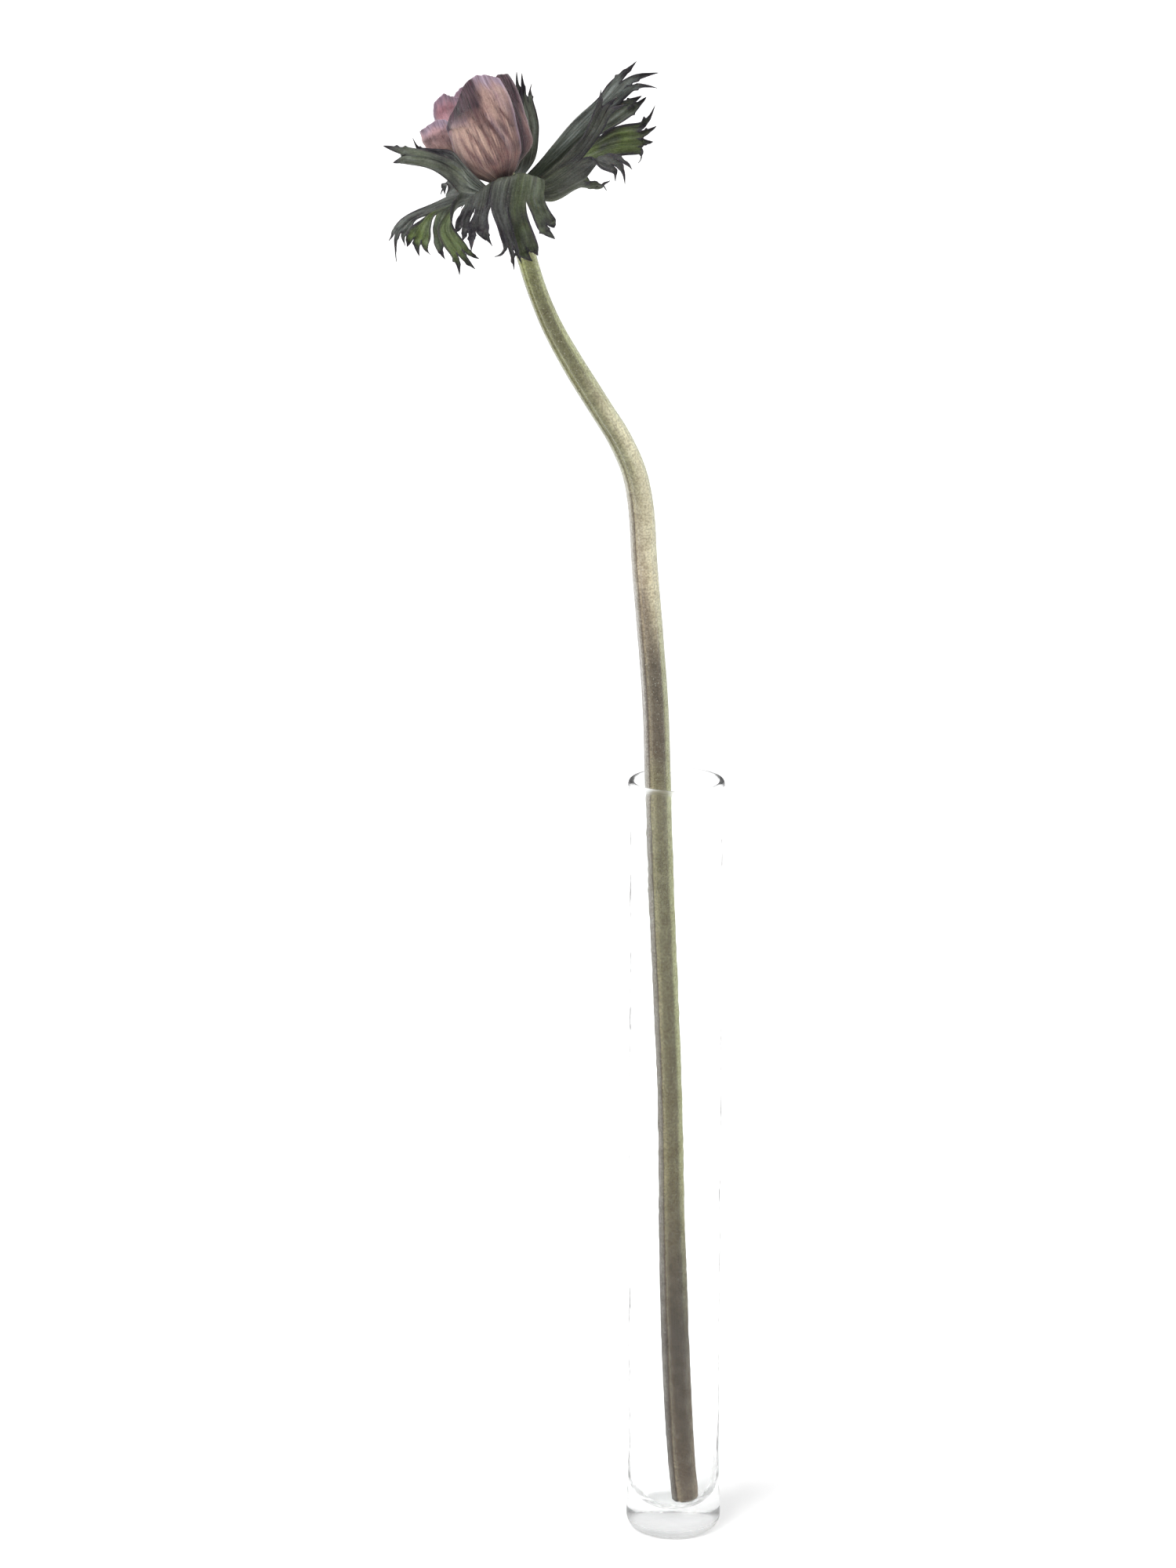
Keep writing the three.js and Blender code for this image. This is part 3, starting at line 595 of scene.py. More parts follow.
STEM_LINE = [
    (3.2, -2.4, 7.4),
    (1.8, -2.0, 22),
    (0.2, -1.1, 54.5),
    (-0.8, 0, 87),
    (-1.4, 1.2, 119),
    (-2.6, 2.4, 148),
    (-3.9, 4.0, 176),
    (-4.8, 5.2, 204),
    (-5.5, 6.2, 224),
    (-6.9, 7.2, 243),
    (-8.4, 7.8, 261),
    (-9.4, 8.0, 276),
    (-11.2, 8.0, 285),
    (-14.8, 7.8, 293.4),
    (-19.7, 7.2, 301.5),
    (-27.2, 6.0, 314),
    (-32.4, 4.6, 324),
    (-36.2, 3.2, 334),
    (-39.0, 2.2, 344),
    (-41.4, 1.4, 353.5),
]
STEM_RADII = [  # share of the stem's length, radius
    (0, 3.6),
    (0.12, 3.7),
    (0.3, 3.25),
    (0.5, 3.4),
    (0.72, 3.35),
    (0.84, 3.0),
    (0.93, 2.5),
    (1, COLLAR_RADIUS),
]
FURROWS = [  # angle in degrees, depth as a share of the radius, spread in radians
    (241, 0.1, 0.13),
    (205, 0.05, 0.3),
    (95, 0.07, 0.16),
]
STEM_SIDES = 72
STEM_ROWS = 340
SWELL = [(-2.6, 2.9), (-1.6, 3.0), (0.7, 3.0), (3.0, 3.0), (3.5, 2.5), (3.8, 1.6), (3.9, 0.0)]
SWELL_ROWS = 24


def stem_radius(share):
    for (x0, r0), (x1, r1) in zip(STEM_RADII, STEM_RADII[1:]):
        if share <= x1:
            return r0 + (r1 - r0) * smooth((share - x0) / (x1 - x0))
    return COLLAR_RADIUS


def stem_relief(angle, share):
    """Low ribs, furrows and fine fluting round the stem, as a share of its radius."""
    relief = 0.02 * math.cos(5 * angle) + 0.006 * math.cos(31 * angle + 6 * share)
    for middle, depth, spread in FURROWS:
        off = math.remainder(angle - math.radians(middle), math.tau)
        relief -= depth * window(off, 0, spread)
    unevenness = wobble(math.cos(angle), math.sin(angle), share * 26)
    return relief + 0.014 * unevenness


@cache
def stem_sections():
    """Centre, direction along the stem, radius and share of relief of each ring."""
    axis = BLOOM.to_3x3() @ UP
    in_bloom = [BLOOM @ Vector((0, 0, height)) for height, _ in SWELL]
    line = Line(STEM_LINE + [BLOOM @ Vector((0, 0, -3.6))])
    shares = line.even_shares(STEM_ROWS)
    rows = []
    for i, along in enumerate(shares):
        share = i / STEM_ROWS
        ribs = 1 - smooth((share - 0.93) / 0.07)
        rows.append((line.at(along), line.ahead(along), stem_radius(share), ribs))
    flank = Line([(radius, 0, height) for height, radius in SWELL])
    for i in range(SWELL_ROWS + 1):
        spot = flank.at(i / SWELL_ROWS)
        rows.append((BLOOM @ Vector((0, 0, spot.z)), axis, max(0.0, spot.x), 0.0))
    return rows


def stem_point(row, angle):
    centre, axis, radius, ribs = stem_sections()[row]
    across = (ALONG_X - axis * axis.x).normalized()
    away = axis.cross(across)
    radius *= 1 + ribs * stem_relief(angle, row / STEM_ROWS)
    return centre + across * (radius * math.cos(angle)) + away * (radius * math.sin(angle))


def stem():
    blade = Blade()
    rows = len(stem_sections()) - 1

    def place(across, along):
        angle = math.pi * (across + 1)
        row = round(along * rows)
        return stem_point(row, angle), (angle / math.tau, row / STEM_ROWS), 0.0, 1.0, []

    blade.lay(STEM_SIDES, rows, place)
    mesh = blade.settle()
    rim = [edge for edge in mesh.edges if edge.is_boundary]
    face = bmesh.ops.holes_fill(mesh, edges=rim, sides=0)["faces"]
    bmesh.ops.recalc_face_normals(mesh, faces=mesh.faces[:])
    # the cut: a pale rim, then the softer pith sunk below it
    ring = bmesh.ops.inset_region(mesh, faces=face, thickness=0.5 * MM, depth=0.1 * MM)["faces"]
    pith = bmesh.ops.inset_region(mesh, faces=face, thickness=0.7 * MM, depth=-0.5 * MM)["faces"]
    for cut in face + ring + pith:
        cut.material_index = 1
    piece("flower_stem", mesh, [stem_finish(), cut_end_finish()], "stem")


STEM_HAIRS = 5200
HAIR_RADIUS = 0.011
HAIR_OUT = 0.45  # where its middle stands, as a share of its length, so that its foot is sunk


def hair(mesh, root, direction, length):
    """One fine hair, a slender cone with its foot in the skin."""
    turn = direction.normalized().to_track_quat("Z", "Y").to_matrix().to_4x4()
    spot = Matrix.Translation(root * MM) @ turn @ Matrix.Translation((0, 0, HAIR_OUT * length * MM))
    sizes = dict(segments=3, radius1=HAIR_RADIUS * MM, radius2=0, depth=length * MM)
    bmesh.ops.create_cone(mesh, cap_ends=True, matrix=spot, **sizes)


def stem_down():
    """Short white hairs that stand out of the stem, leaning a little down it."""
    draw = random.Random(11)
    mesh = bmesh.new()
    for _ in range(STEM_HAIRS):
        row = int(STEM_ROWS * (1 - 0.97 * draw.random() ** 2.2))
        root = stem_point(row, draw.uniform(0, math.tau))
        centre, axis, _, _ = stem_sections()[row]
        out = (root - centre).normalized()
        lean = out - axis * draw.uniform(0.0, 0.5) + out.cross(axis) * draw.uniform(-0.3, 0.3)
        hair(mesh, root, lean, draw.uniform(0.3, 0.75))
    piece("stem_down", mesh, [down_finish()])


# Petals: sheets on nested cups round the bloom's own axis

CUP_FOOT = -0.8
CUP_WIDTH = 6.8
CUP_RISE = 7
CUP_SHOULDER = 13
CUP_CLOSING = 0.006
PITCH = BLADE + 0.4
PETAL_FEET = [2.0, 0.65, -0.8]
OUTERMOST = 2
PETALS = {
    "petal_front": dict(azimuth=-93, span=57, cup=2, top=27.8, peak=0.5, drops=(10.5, 3.6)),
    "petal_right": dict(azimuth=-15, span=50, cup=1, top=24.8, peak=-0.2, drops=(6, 4.5)),
    "petal_back_right": dict(azimuth=42, span=49, cup=0, top=23.6, peak=0.1, drops=(5, 6)),
    "petal_back": dict(azimuth=100, span=49, cup=1, top=23.4, peak=0, drops=(5, 5)),
    "petal_back_left": dict(azimuth=152, span=44, cup=0, top=24, peak=-0.1, drops=(4, 5)),
    "petal_left": dict(azimuth=-163, span=42, cup=1, top=19.6, peak=0.2, drops=(4, 2)),
}
FLARES = {  # how far a petal leans out past an azimuth, and between which heights
    "petal_front": dict(amount=1.8, begin=-80, full=-42, low=10, high=22),
    "petal_right": dict(amount=1.5, begin=-37, full=-10, low=2, high=8),
    "petal_back_left": dict(amount=2.6, begin=150, full=166, low=12, high=20),
    "petal_left": dict(amount=6, begin=-148, full=-174, low=5, high=14),
}
# Where the outer face is dusky, partly its own charcoal tone and partly painted shade, such as the shadow
# along the front petal's margin on the right petal: across, up, spread across, spread up, strength
DUSK_AND_PAINTED_SHADE = {
    "petal_front": [
        (0.08, 0.87, 0.2, 0.08, 1.6),
        (-0.15, 0.93, 0.28, 0.08, 2.6),
        (-0.65, 0.95, 0.35, 0.07, 1.6),
        (0.28, 0.97, 0.1, 0.05, 1.0),
        (0.2, 0.79, 0.13, 0.05, 0.7),
        (0.45, 0.04, 0.4, 0.07, 0.8),
    ],
    "petal_right": [(-0.2, 0.85, 0.28, 0.3, 1.8), (-0.3, 0.4, 0.2, 0.4, 1.6), (0.1, 0.97, 0.4, 0.05, 1.0)],
    "petal_left": [
        (-0.5, 0.99, 0.35, 0.05, 0.8),
        (0.0, 0.84, 0.5, 0.03, 0.35),
        (0.5, 0.72, 0.5, 0.08, 0.3),
    ],
    "petal_back_left": [(0.2, 0.7, 0.5, 0.08, 0.4), (-0.6, 0.97, 0.3, 0.05, 0.4)],
}
# Strokes along a petal: from across, up, to across, up, width, strength.
# Maroon marks on the outer face, and folds that rise or sink by so many millimetres; rising folds also get
# a painted lilac highlight.
MARKS = {
    "petal_front": [
        (-0.6, 0.93, 0.0, 0.78, 0.08, 1.7),
        (0.0, 0.78, 0.25, 0.68, 0.1, 1.7),
        (0.15, 0.74, 0.48, 0.38, 0.035, 2.0),
        (-0.02, 0.75, 0.26, 0.32, 0.035, 1.8),
        (0.66, 0.66, 0.92, 0.44, 0.03, 1.2),
        (0.52, 0.8, 0.66, 0.48, 0.03, 0.5),
        (0.3, 0.95, 0.33, 0.74, 0.05, 0.8),
        (-0.25, 0.64, 0.02, 0.26, 0.04, 0.7),
        (-0.55, 0.6, -0.2, 0.22, 0.05, 0.6),
        (-0.8, 0.5, -0.4, 0.16, 0.05, 0.5),
        (0.5, 0.55, 0.82, 0.28, 0.04, 1.0),
        (0.95, 0.6, 0.8, 0.16, 0.13, 1.5),
        (0.6, 0.2, 0.1, 0.1, 0.13, 1.5),
    ],
    "petal_right": [
        (-0.1, 0.4, -0.1, 0.05, 0.4, 1.1),
        (-0.35, 0.7, -0.35, 0.1, 0.2, 1.5),
        (-0.1, 0.9, -0.1, 0.5, 0.15, 0.9),
    ],
    "petal_left": [(-0.6, 0.6, 0.3, 0.3, 0.08, 0.5), (-0.2, 0.9, 0.5, 0.6, 0.06, 0.4)],
}
CREASES = {
    "petal_front": [
        (-0.95, 0.97, -0.2, 0.74, 0.05, 0.45),
        (-0.9, 0.88, -0.25, 0.64, 0.05, -0.4),
        (0.15, 0.74, 0.48, 0.38, 0.05, -0.35),
        (-0.02, 0.75, 0.26, 0.32, 0.05, -0.3),
        (0.66, 0.66, 0.92, 0.44, 0.05, -0.25),
        (0.3, 0.95, 0.33, 0.74, 0.07, -0.4),
        (0.3, 0.65, 0.6, 0.3, 0.06, 0.3),
        (-0.25, 0.64, 0.02, 0.26, 0.06, -0.2),
        (0.6, 0.97, 0.85, 0.6, 0.12, 0.25),
    ],
    "petal_right": [(-0.15, 0.95, 0.0, 0.5, 0.12, -0.4), (0.12, 0.95, 0.15, 0.4, 0.1, 0.4)],
}
# How pink (0), tan (0.45) or ochre (1) a petal is at its foot and at its top
WARMTH = {
    "petal_front": (0.5, 0.42),
    "petal_right": (0.4, 0.2),
    "petal_left": (0.85, 0.1),
    "petal_back_left": (0.4, 0.0),
}
# How strongly a petal is veined at its foot and at its top
VEINING = {"petal_front": (2.4, 0.5), "petal_right": (1.5, 0.9), "petal_left": (1.2, 0.5)}
# Soft dents and swellings of a petal: across, up, spread across, spread up, millimetres
FOLDS = {
    "petal_front": [
        (-0.3, 0.98, 0.6, 0.1, -1.1),
        (-0.95, 0.85, 0.2, 0.2, -1.0),
        (0.1, 0.45, 0.2, 0.3, 0.25),
    ],
    "petal_right": [(0.2, 0.22, 0.6, 0.1, 1.2), (0.15, 0.55, 0.4, 0.1, -0.3)],
    "petal_left": [(0.1, 0.84, 0.5, 0.05, 0.4), (-0.5, 0.7, 0.25, 0.12, -0.35), (0.6, 0.9, 0.2, 0.1, -0.3)],
    "petal_back_left": [(0.1, 0.8, 0.3, 0.08, 0.35), (-0.4, 0.9, 0.2, 0.1, -0.3)],
}
PETAL_COLUMNS = 132
PETAL_ROWS = 84
VEINS = 30
# Relief of a petal and of its upper edge, in millimetres
VEIN_DEPTH = 0.06
STREAK_DEPTH = 0.05
CRUMPLE = 0.22
FINE_CRUMPLE = 0.09
EDGE_CURL = 0.3
RAGGED = 0.3
NICKS = 0.22
FINE_NICKS = 0.1
WAVE = 0.35
# Shares of the width and of the height where the margins and the upper rim begin
MARGIN_FROM = 0.9
RIM_FROM = 0.85


def cup_radius(height, cup):
    up = (height - CUP_FOOT) / CUP_RISE
    over = max(0.0, height - CUP_SHOULDER)
    outer = PETAL_BASE_RADIUS + CUP_WIDTH * math.tanh(up) - CUP_CLOSING * over**2
    slope = CUP_WIDTH / CUP_RISE / math.cosh(up) ** 2 - 2 * CUP_CLOSING * over
    inward = (OUTERMOST - cup) * PITCH * math.hypot(1, slope)
    return max(PETAL_BASE_RADIUS, outer - inward)


def petal_point(name, u, v):
    spec = PETALS[name]
    azimuth, cup, top, peak = spec["azimuth"], spec["cup"], spec["top"], spec["peak"]
    foot = PETAL_FEET[cup]
    side = (peak - u) / (1 + peak) if u < peak else (u - peak) / (1 - peak)
    drop = spec["drops"][u >= peak] * side**1.5
    ragged = RAGGED * math.sin(7 * u + azimuth) * v**4
    nicks = NICKS * wobble(u * 9, azimuth, 0) + FINE_NICKS * wobble(u * 31, azimuth, 4)
    height = foot + (top - drop + ragged - foot) * v + nicks * v**10
    half_span = spec["span"] * (0.6 + 0.4 * smooth(v * 3.5)) * (1 - 0.08 * v**4)
    turn = math.radians(azimuth + u * half_span)
    flare = 0.0
    if name in FLARES:
        lean = FLARES[name]
        begin = math.radians(lean["begin"])
        reach = (turn - begin) / (math.radians(lean["full"]) - begin)
        risen = (height - lean["low"]) / (lean["high"] - lean["low"])
        flare = lean["amount"] * smooth(reach) * smooth(risen)
    wave = WAVE * math.sin(5 * turn + 0.12 * height) * clamp(height / 20) ** 2
    radius = cup_radius(height, cup) + flare + wave
    return Vector((radius * math.cos(turn), radius * math.sin(turn), height))


def vein_marks(seed, count):
    """Long veins at uneven places; gives how deep in a vein a place is, from 0 to 1."""
    draw = random.Random(seed)
    strengths = [draw.uniform(0.15, 1.0) for _ in range(count + 2)]
    shifts = [draw.uniform(-0.22, 0.22) for _ in range(count + 2)]

    def mark(across, along):
        drift = 0.035 * wobble(across * 1.6, along * 2.4, seed)
        place = clamp((across + 1) / 2 + drift * along, 0.0, 0.9999) * count
        k = int(place)
        return strengths[k] * window(place - k, 0.5 + shifts[k], 0.17) * smooth(along * 6)

    return mark


def spots(table, name, u, v):
    """All of a petal's soft spots together at a place."""
    own = table.get(name, [])
    return sum(amount * window(u, at, wide) * window(v, up, tall) for at, up, wide, tall, amount in own)


def strokes(table, name, u, v):
    """The strongest of the soft strokes at a place, each strongest in its middle."""
    strongest = 0.0
    here = Vector((u, v))
    for u0, v0, u1, v1, width, strength in table.get(name, []):
        start = Vector((u0, v0))
        run = Vector((u1, v1)) - start
        along = clamp((here - start).dot(run) / run.length_squared)
        away = (here - start - run * along).length
        drawn = strength * window(away, 0, width) * (0.5 + 0.5 * math.sin(math.pi * along))
        strongest = max(strongest, drawn, key=abs)
    return strongest


def mottle(u, v, seed):
    """Uneven streaks that run up a petal, from -1 to 1."""
    drift = 0.08 * wobble(u * 2, v * 3, seed)
    broad = wobble((u + drift) * 7, v * 2.2, seed + 3)
    medium = wobble((u + drift) * 17, v * 3.4, seed + 5)
    return 0.9 * broad + 0.5 * medium


def petal(name, finishes):
    blade = Blade("petal_tones")
    seed = PETALS[name]["azimuth"]
    mark = vein_marks(seed, VEINS)
    foot_warmth, top_warmth = WARMTH.get(name, (0.45, 0.2))
    foot_veins, top_veins = VEINING.get(name, (0.7, 0.4))
    outermost = PETALS[name]["cup"] == OUTERMOST

    def place(across, along):
        v = along**1.15
        point = BLOOM @ petal_point(name, across, v)
        vein = mark(across, v)
        streak = mottle(across, v, seed)
        margin = smooth((abs(across) - MARGIN_FROM) / 0.1)
        opened = smooth(v * 2)
        crumple = CRUMPLE * wobble(across * 3.2, v * 3.6, seed + 7)
        crumple += FINE_CRUMPLE * wobble(across * 9, v * 8, seed + 2)
        crease_with_painted_light = strokes(CREASES, name, across, v)
        relief = spots(FOLDS, name, across, v) - VEIN_DEPTH * vein * (1 - margin) - STREAK_DEPTH * streak
        relief += crumple * opened + EDGE_CURL * margin * opened * outermost
        relief += crease_with_painted_light
        # rim tone: the real lilac upper rim, and painted highlight on the margins and on rising creases
        rim = smooth((v - RIM_FROM + 0.06 * streak) / 0.13) + 0.55 * margin * opened + max(0, crease_with_painted_light)
        # dusky tone: partly the petal's own charcoal, partly painted shade
        dusk_and_painted_shade = spots(DUSK_AND_PAINTED_SHADE, name, across, v) * (1 + 0.5 * streak)
        density = foot_veins + (top_veins - foot_veins) * smooth(v * 1.2 - 0.1)
        veined = density * (0.25 + 0.5 * streak + 0.4 * vein) + strokes(MARKS, name, across, v)
        warmth = foot_warmth + (top_warmth - foot_warmth) * smooth(v * 1.1 - 0.1)
        tones = (clamp(dusk_and_painted_shade), clamp(rim), clamp(veined), clamp(warmth))
        fullness = 1 - 0.7 * smooth((v - RIM_FROM) / 0.15) * (1 - margin * outermost)
        return point, ((across + 1) / 2, v), relief, fullness, [tones]

    blade.lay(PETAL_COLUMNS, PETAL_ROWS, place)
    made = piece(name + "_blade", blade.settle(), finishes, name)
    give_thickness(made, PETAL_THICKNESS)


# Centre: a dome of small carpels inside rings of stamens

DOME = 2.9
DOME_HALF_HEIGHT = 2.5
DOME_MIDDLE = CENTRE_FOOT + 0.6
CARPELS = 120
CARPEL = (0.27, 0.27, 0.42)
GOLDEN_TURN = math.pi * (3 - math.sqrt(5))
ANTHER = (0.2, 0.27, 0.46)
STAMEN_RINGS = [(2.6, 16, 3.6), (2.95, 20, 4.6), (3.2, 24, 5.4)]  # radius at the foot, number, height


def grown(mesh, place, size, detail=1):
    """A small rounded body of the given half sizes, in a place of the bloom."""
    spot = BLOOM @ place @ Matrix.Diagonal((*size, 1))
    verts = bmesh.ops.create_icosphere(mesh, subdivisions=detail, radius=1)["verts"]
    for vertex in verts:
        vertex.co = (spot @ vertex.co) * MM


def centre_dome():
    mesh = bmesh.new()
    grown(mesh, Matrix.Translation((0, 0, DOME_MIDDLE)), (DOME, DOME, DOME_HALF_HEIGHT), detail=4)
    for k in range(CARPELS):
        turn = k * GOLDEN_TURN
        rise = math.asin(0.05 + 0.95 * (k + 0.5) / CARPELS)
        level = math.cos(rise)
        out = Vector((level * math.cos(turn), level * math.sin(turn), math.sin(rise)))
        root = Vector((out.x * DOME, out.y * DOME, DOME_MIDDLE + DOME_HALF_HEIGHT * out.z))
        facing = out.to_track_quat("Z", "Y").to_matrix().to_4x4()
        grown(mesh, Matrix.Translation(root) @ facing, CARPEL)
    return mesh


def stamen(mesh, foot, tall, tip_turn):
    """A slender filament on its foot, a place of the bloom, and the anther at its top."""
    spot = BLOOM @ foot @ Matrix.Translation((0, 0, tall / 2))
    sizes = dict(segments=8, radius1=0.1, radius2=0.07, depth=tall)
    for vertex in bmesh.ops.create_cone(mesh, cap_ends=True, **sizes)["verts"]:
        vertex.co = (spot @ vertex.co) * MM
    top = foot @ Matrix.Translation((0, 0, tall))
    grown(mesh, top @ Matrix.Rotation(tip_turn, 4, "X"), ANTHER)


def centre_stamens(mesh):
    draw = random.Random(5)
    for radius, number, height in STAMEN_RINGS:
        for k in range(number):
            angle = math.tau * (k + draw.uniform(-0.2, 0.2)) / number
            tall = height * draw.uniform(0.85, 1.05)
            lean = draw.uniform(0.06, 0.16)
            foot = Matrix.Rotation(angle, 4, "Z") @ Matrix.Translation((radius, 0, CENTRE_FOOT + 0.1))
            foot = foot @ Matrix.Rotation(lean, 4, "Y")
            stamen(mesh, foot, tall, draw.uniform(-0.5, 0.5))


def centre():
    mesh = centre_dome()
    centre_stamens(mesh)
    dark = centre_finish("dark centre", (0.016, 0.013, 0.03), (0.1, 0.09, 0.15))
    piece("centre_head", mesh, [dark], "centre")


# Bracts: each leaves the stem on an arc, widens to a plate and parts into lobes, and each lobe into
# teeth. A lobe has its line from the plate's fold, through its parting, to where its teeth part, its
# half width, the direction across it, the lift of its edges and the tips of its teeth, from HEAD.
# Its tones are how green, how pale and how dark it is, on its upper face and, where that differs, on its
# under face. Some lobes have strong ribs or grow dark from nearer their foot.
FRONT_LOBES = [
    dict(
        line=[(-8.2, -8.6, 0.2), (-9.9, -9.9, -3), (-11.2, -10, -5.6), (-11.7, -10.2, -7.6)],
        tips=[(-13, -10.6, -8.8), (-11.6, -11.2, -11)],
        half=1.8, across=(1, -0.2, 0.1), lift=-0.4, upper=(0.0, 0.1, 0.7), under=(0.1, 0.2, 0.4),
    ),
    dict(
        line=[(-4.6, -8.4, 3.2), (-6.4, -11, -2.2), (-7.2, -12, -5.6), (-7.4, -12.2, -8)],
        tips=[(-9.5, -12, -13.4), (-5.6, -12.6, -10.6), (-4.2, -12.6, -12)],
        half=2.6, across=(1, -0.1, 0.1), lift=-0.5, upper=(0.0, 0.1, 0.65), under=(0.1, 0.2, 0.4),
    ),
    dict(
        line=[(-0.8, -8.6, 4.6), (-2.6, -12, -2), (-1.2, -13, -7), (0.2, -13.4, -11.5)],
        tips=[(-3.6, -13, -14.6), (1.2, -13.6, -17.8), (3.1, -13.6, -16.2)],
        half=1.9, across=(1, 0.1, 0.3), lift=-0.4, upper=(0.05, 0.2, 0.6), under=(0.1, 0.2, 0.4),
    ),
    dict(
        line=[(3.1, -7.8, 5.2), (1.8, -10.4, -1.6), (2.6, -10.4, -7), (4.2, -10, -12.6)],
        tips=[(5.8, -9.6, -16.3), (7, -9.2, -14.6)],
        half=3.1, across=(1, 0.1, 0.1), lift=-0.5, upper=(0.5, 0.0, 0.35), under=(0.5, 0.05, 0.3),
    ),
    dict(
        line=[(6.7, -7.2, 4.2), (6.3, -9, -0.6), (7.8, -9.2, -4.2), (9.3, -9.2, -7)],
        tips=[(11.6, -9.4, -10.8), (11.3, -9, -8)],
        half=2.5, across=(1, 0.2, 0.3), lift=-0.5, upper=(0.4, 0.15, 0.25), under=(0.4, 0.2, 0.2),
    ),
]
LEFT_LOBES = [
    dict(
        line=[(-8.8, -8.4, 4.6), (-13.6, -7.2, 9.8), (-17, -5, 10.3), (-20.7, -4.7, 10.3)],
        tips=[(-23.9, -6, 14)],
        half=0.9, across=(0.3, -0.35, -1), lift=0.2,
        upper=(0.05, 0.05, 0.9), under=(0.05, 0.1, 0.9), ribs=0.16,
    ),
    dict(
        line=[(-9, -6.6, 2.4), (-12, -8.5, 5.3), (-17.2, -9.2, 8.5), (-25.4, -7.4, 9.8)],
        tips=[(-31.2, -5.6, 11.9), (-28.6, -7.2, 7.8)],
        half=2.2, across=(0.3, -0.35, -1), lift=0.5,
        upper=(0.5, 0.2, 0.15), under=(0.6, 0.2, 0.15), ribs=0.16,
    ),
    dict(
        line=[(-9, -3, -2), (-13.6, -4.8, -4.2), (-15.8, -8.6, -8.4), (-12.4, -10, -13.6)],
        tips=[(-7.4, -9.6, -15.6), (-8.4, -10, -18.2), (-12.4, -9.8, -19.7)],
        half=2.2, across=(-1, 0, -0.2), lift=-0.4, upper=(0.85, 0.1, 0.05), under=(0.5, 0.3, 0.2),
    ),
    dict(
        line=[(-9.6, -1.8, -2), (-16.4, -4.2, -4.4), (-17.8, -5.4, -8.2), (-17.6, -6.2, -12)],
        tips=[(-16, -7.2, -16.2)],
        half=0.9, across=(-1, 0, 0), lift=-0.3, upper=(0.7, 0.35, 0.05), under=(0.5, 0.4, 0.1),
    ),
    dict(
        line=[(-10, -0.8, -2), (-18.6, -4, -4.8), (-21.4, -6.6, -8), (-22.7, -7.2, -11)],
        tips=[(-19.8, -7.6, -14.8), (-22.4, -8, -15.2), (-25.4, -7.4, -13)],
        half=2.8, across=(-1, 0.1, 0.1), lift=-0.4, upper=(1.0, 0.05, 0.0), under=(0.6, 0.3, 0.1),
    ),
    dict(
        line=[(-10.6, 0.4, -2.2), (-18.6, -2.8, -4.8), (-24.2, -4.2, -6.3), (-27, -5.2, -9.2)],
        tips=[(-25.7, -7.2, -13), (-28, -6, -17.2), (-30, -4.8, -12)],
        half=1.7, across=(-0.6, 0.4, 0.5), lift=-0.5, upper=(0.2, 0.5, 0.35),
    ),
    dict(
        line=[(-8.8, 4, -0.4), (-11.8, 6, 0.4), (-14.8, 8.6, 1)],
        tips=[(-16.4, 10, -2.8), (-17.6, 12.4, -3)],
        half=1.7, across=(0.3, 1, 0.4), lift=-0.5, upper=(0.2, 0.9, 0.0),
    ),
    dict(
        line=[(-4.2, 8.2, 0), (-6.4, 12, -1.2), (-8.4, 15.4, -3.4)],
        tips=[(-12.6, 18, -7.6), (-9.4, 20, -9), (-6.2, 18.6, -8.4)],
        half=2.4, across=(1, 0.5, 0), lift=-0.5, upper=(0.3, 0.3, 0.15), under=(0.3, 0.4, 0.1),
    ),
    dict(
        line=[(2.4, 6.6, 2.4), (4.8, 8.6, 6.6), (5.6, 9.8, 14), (4, 10, 20.4)],
        tips=[(1.5, 10.2, 28.4), (2.9, 10.2, 28), (5.2, 9.6, 25.2)],
        half=2, across=(1, -0.2, 0.1), lift=0.4, upper=(0.35, 0.45, 0.0), under=(0.3, 0.45, 0.0),
    ),
]
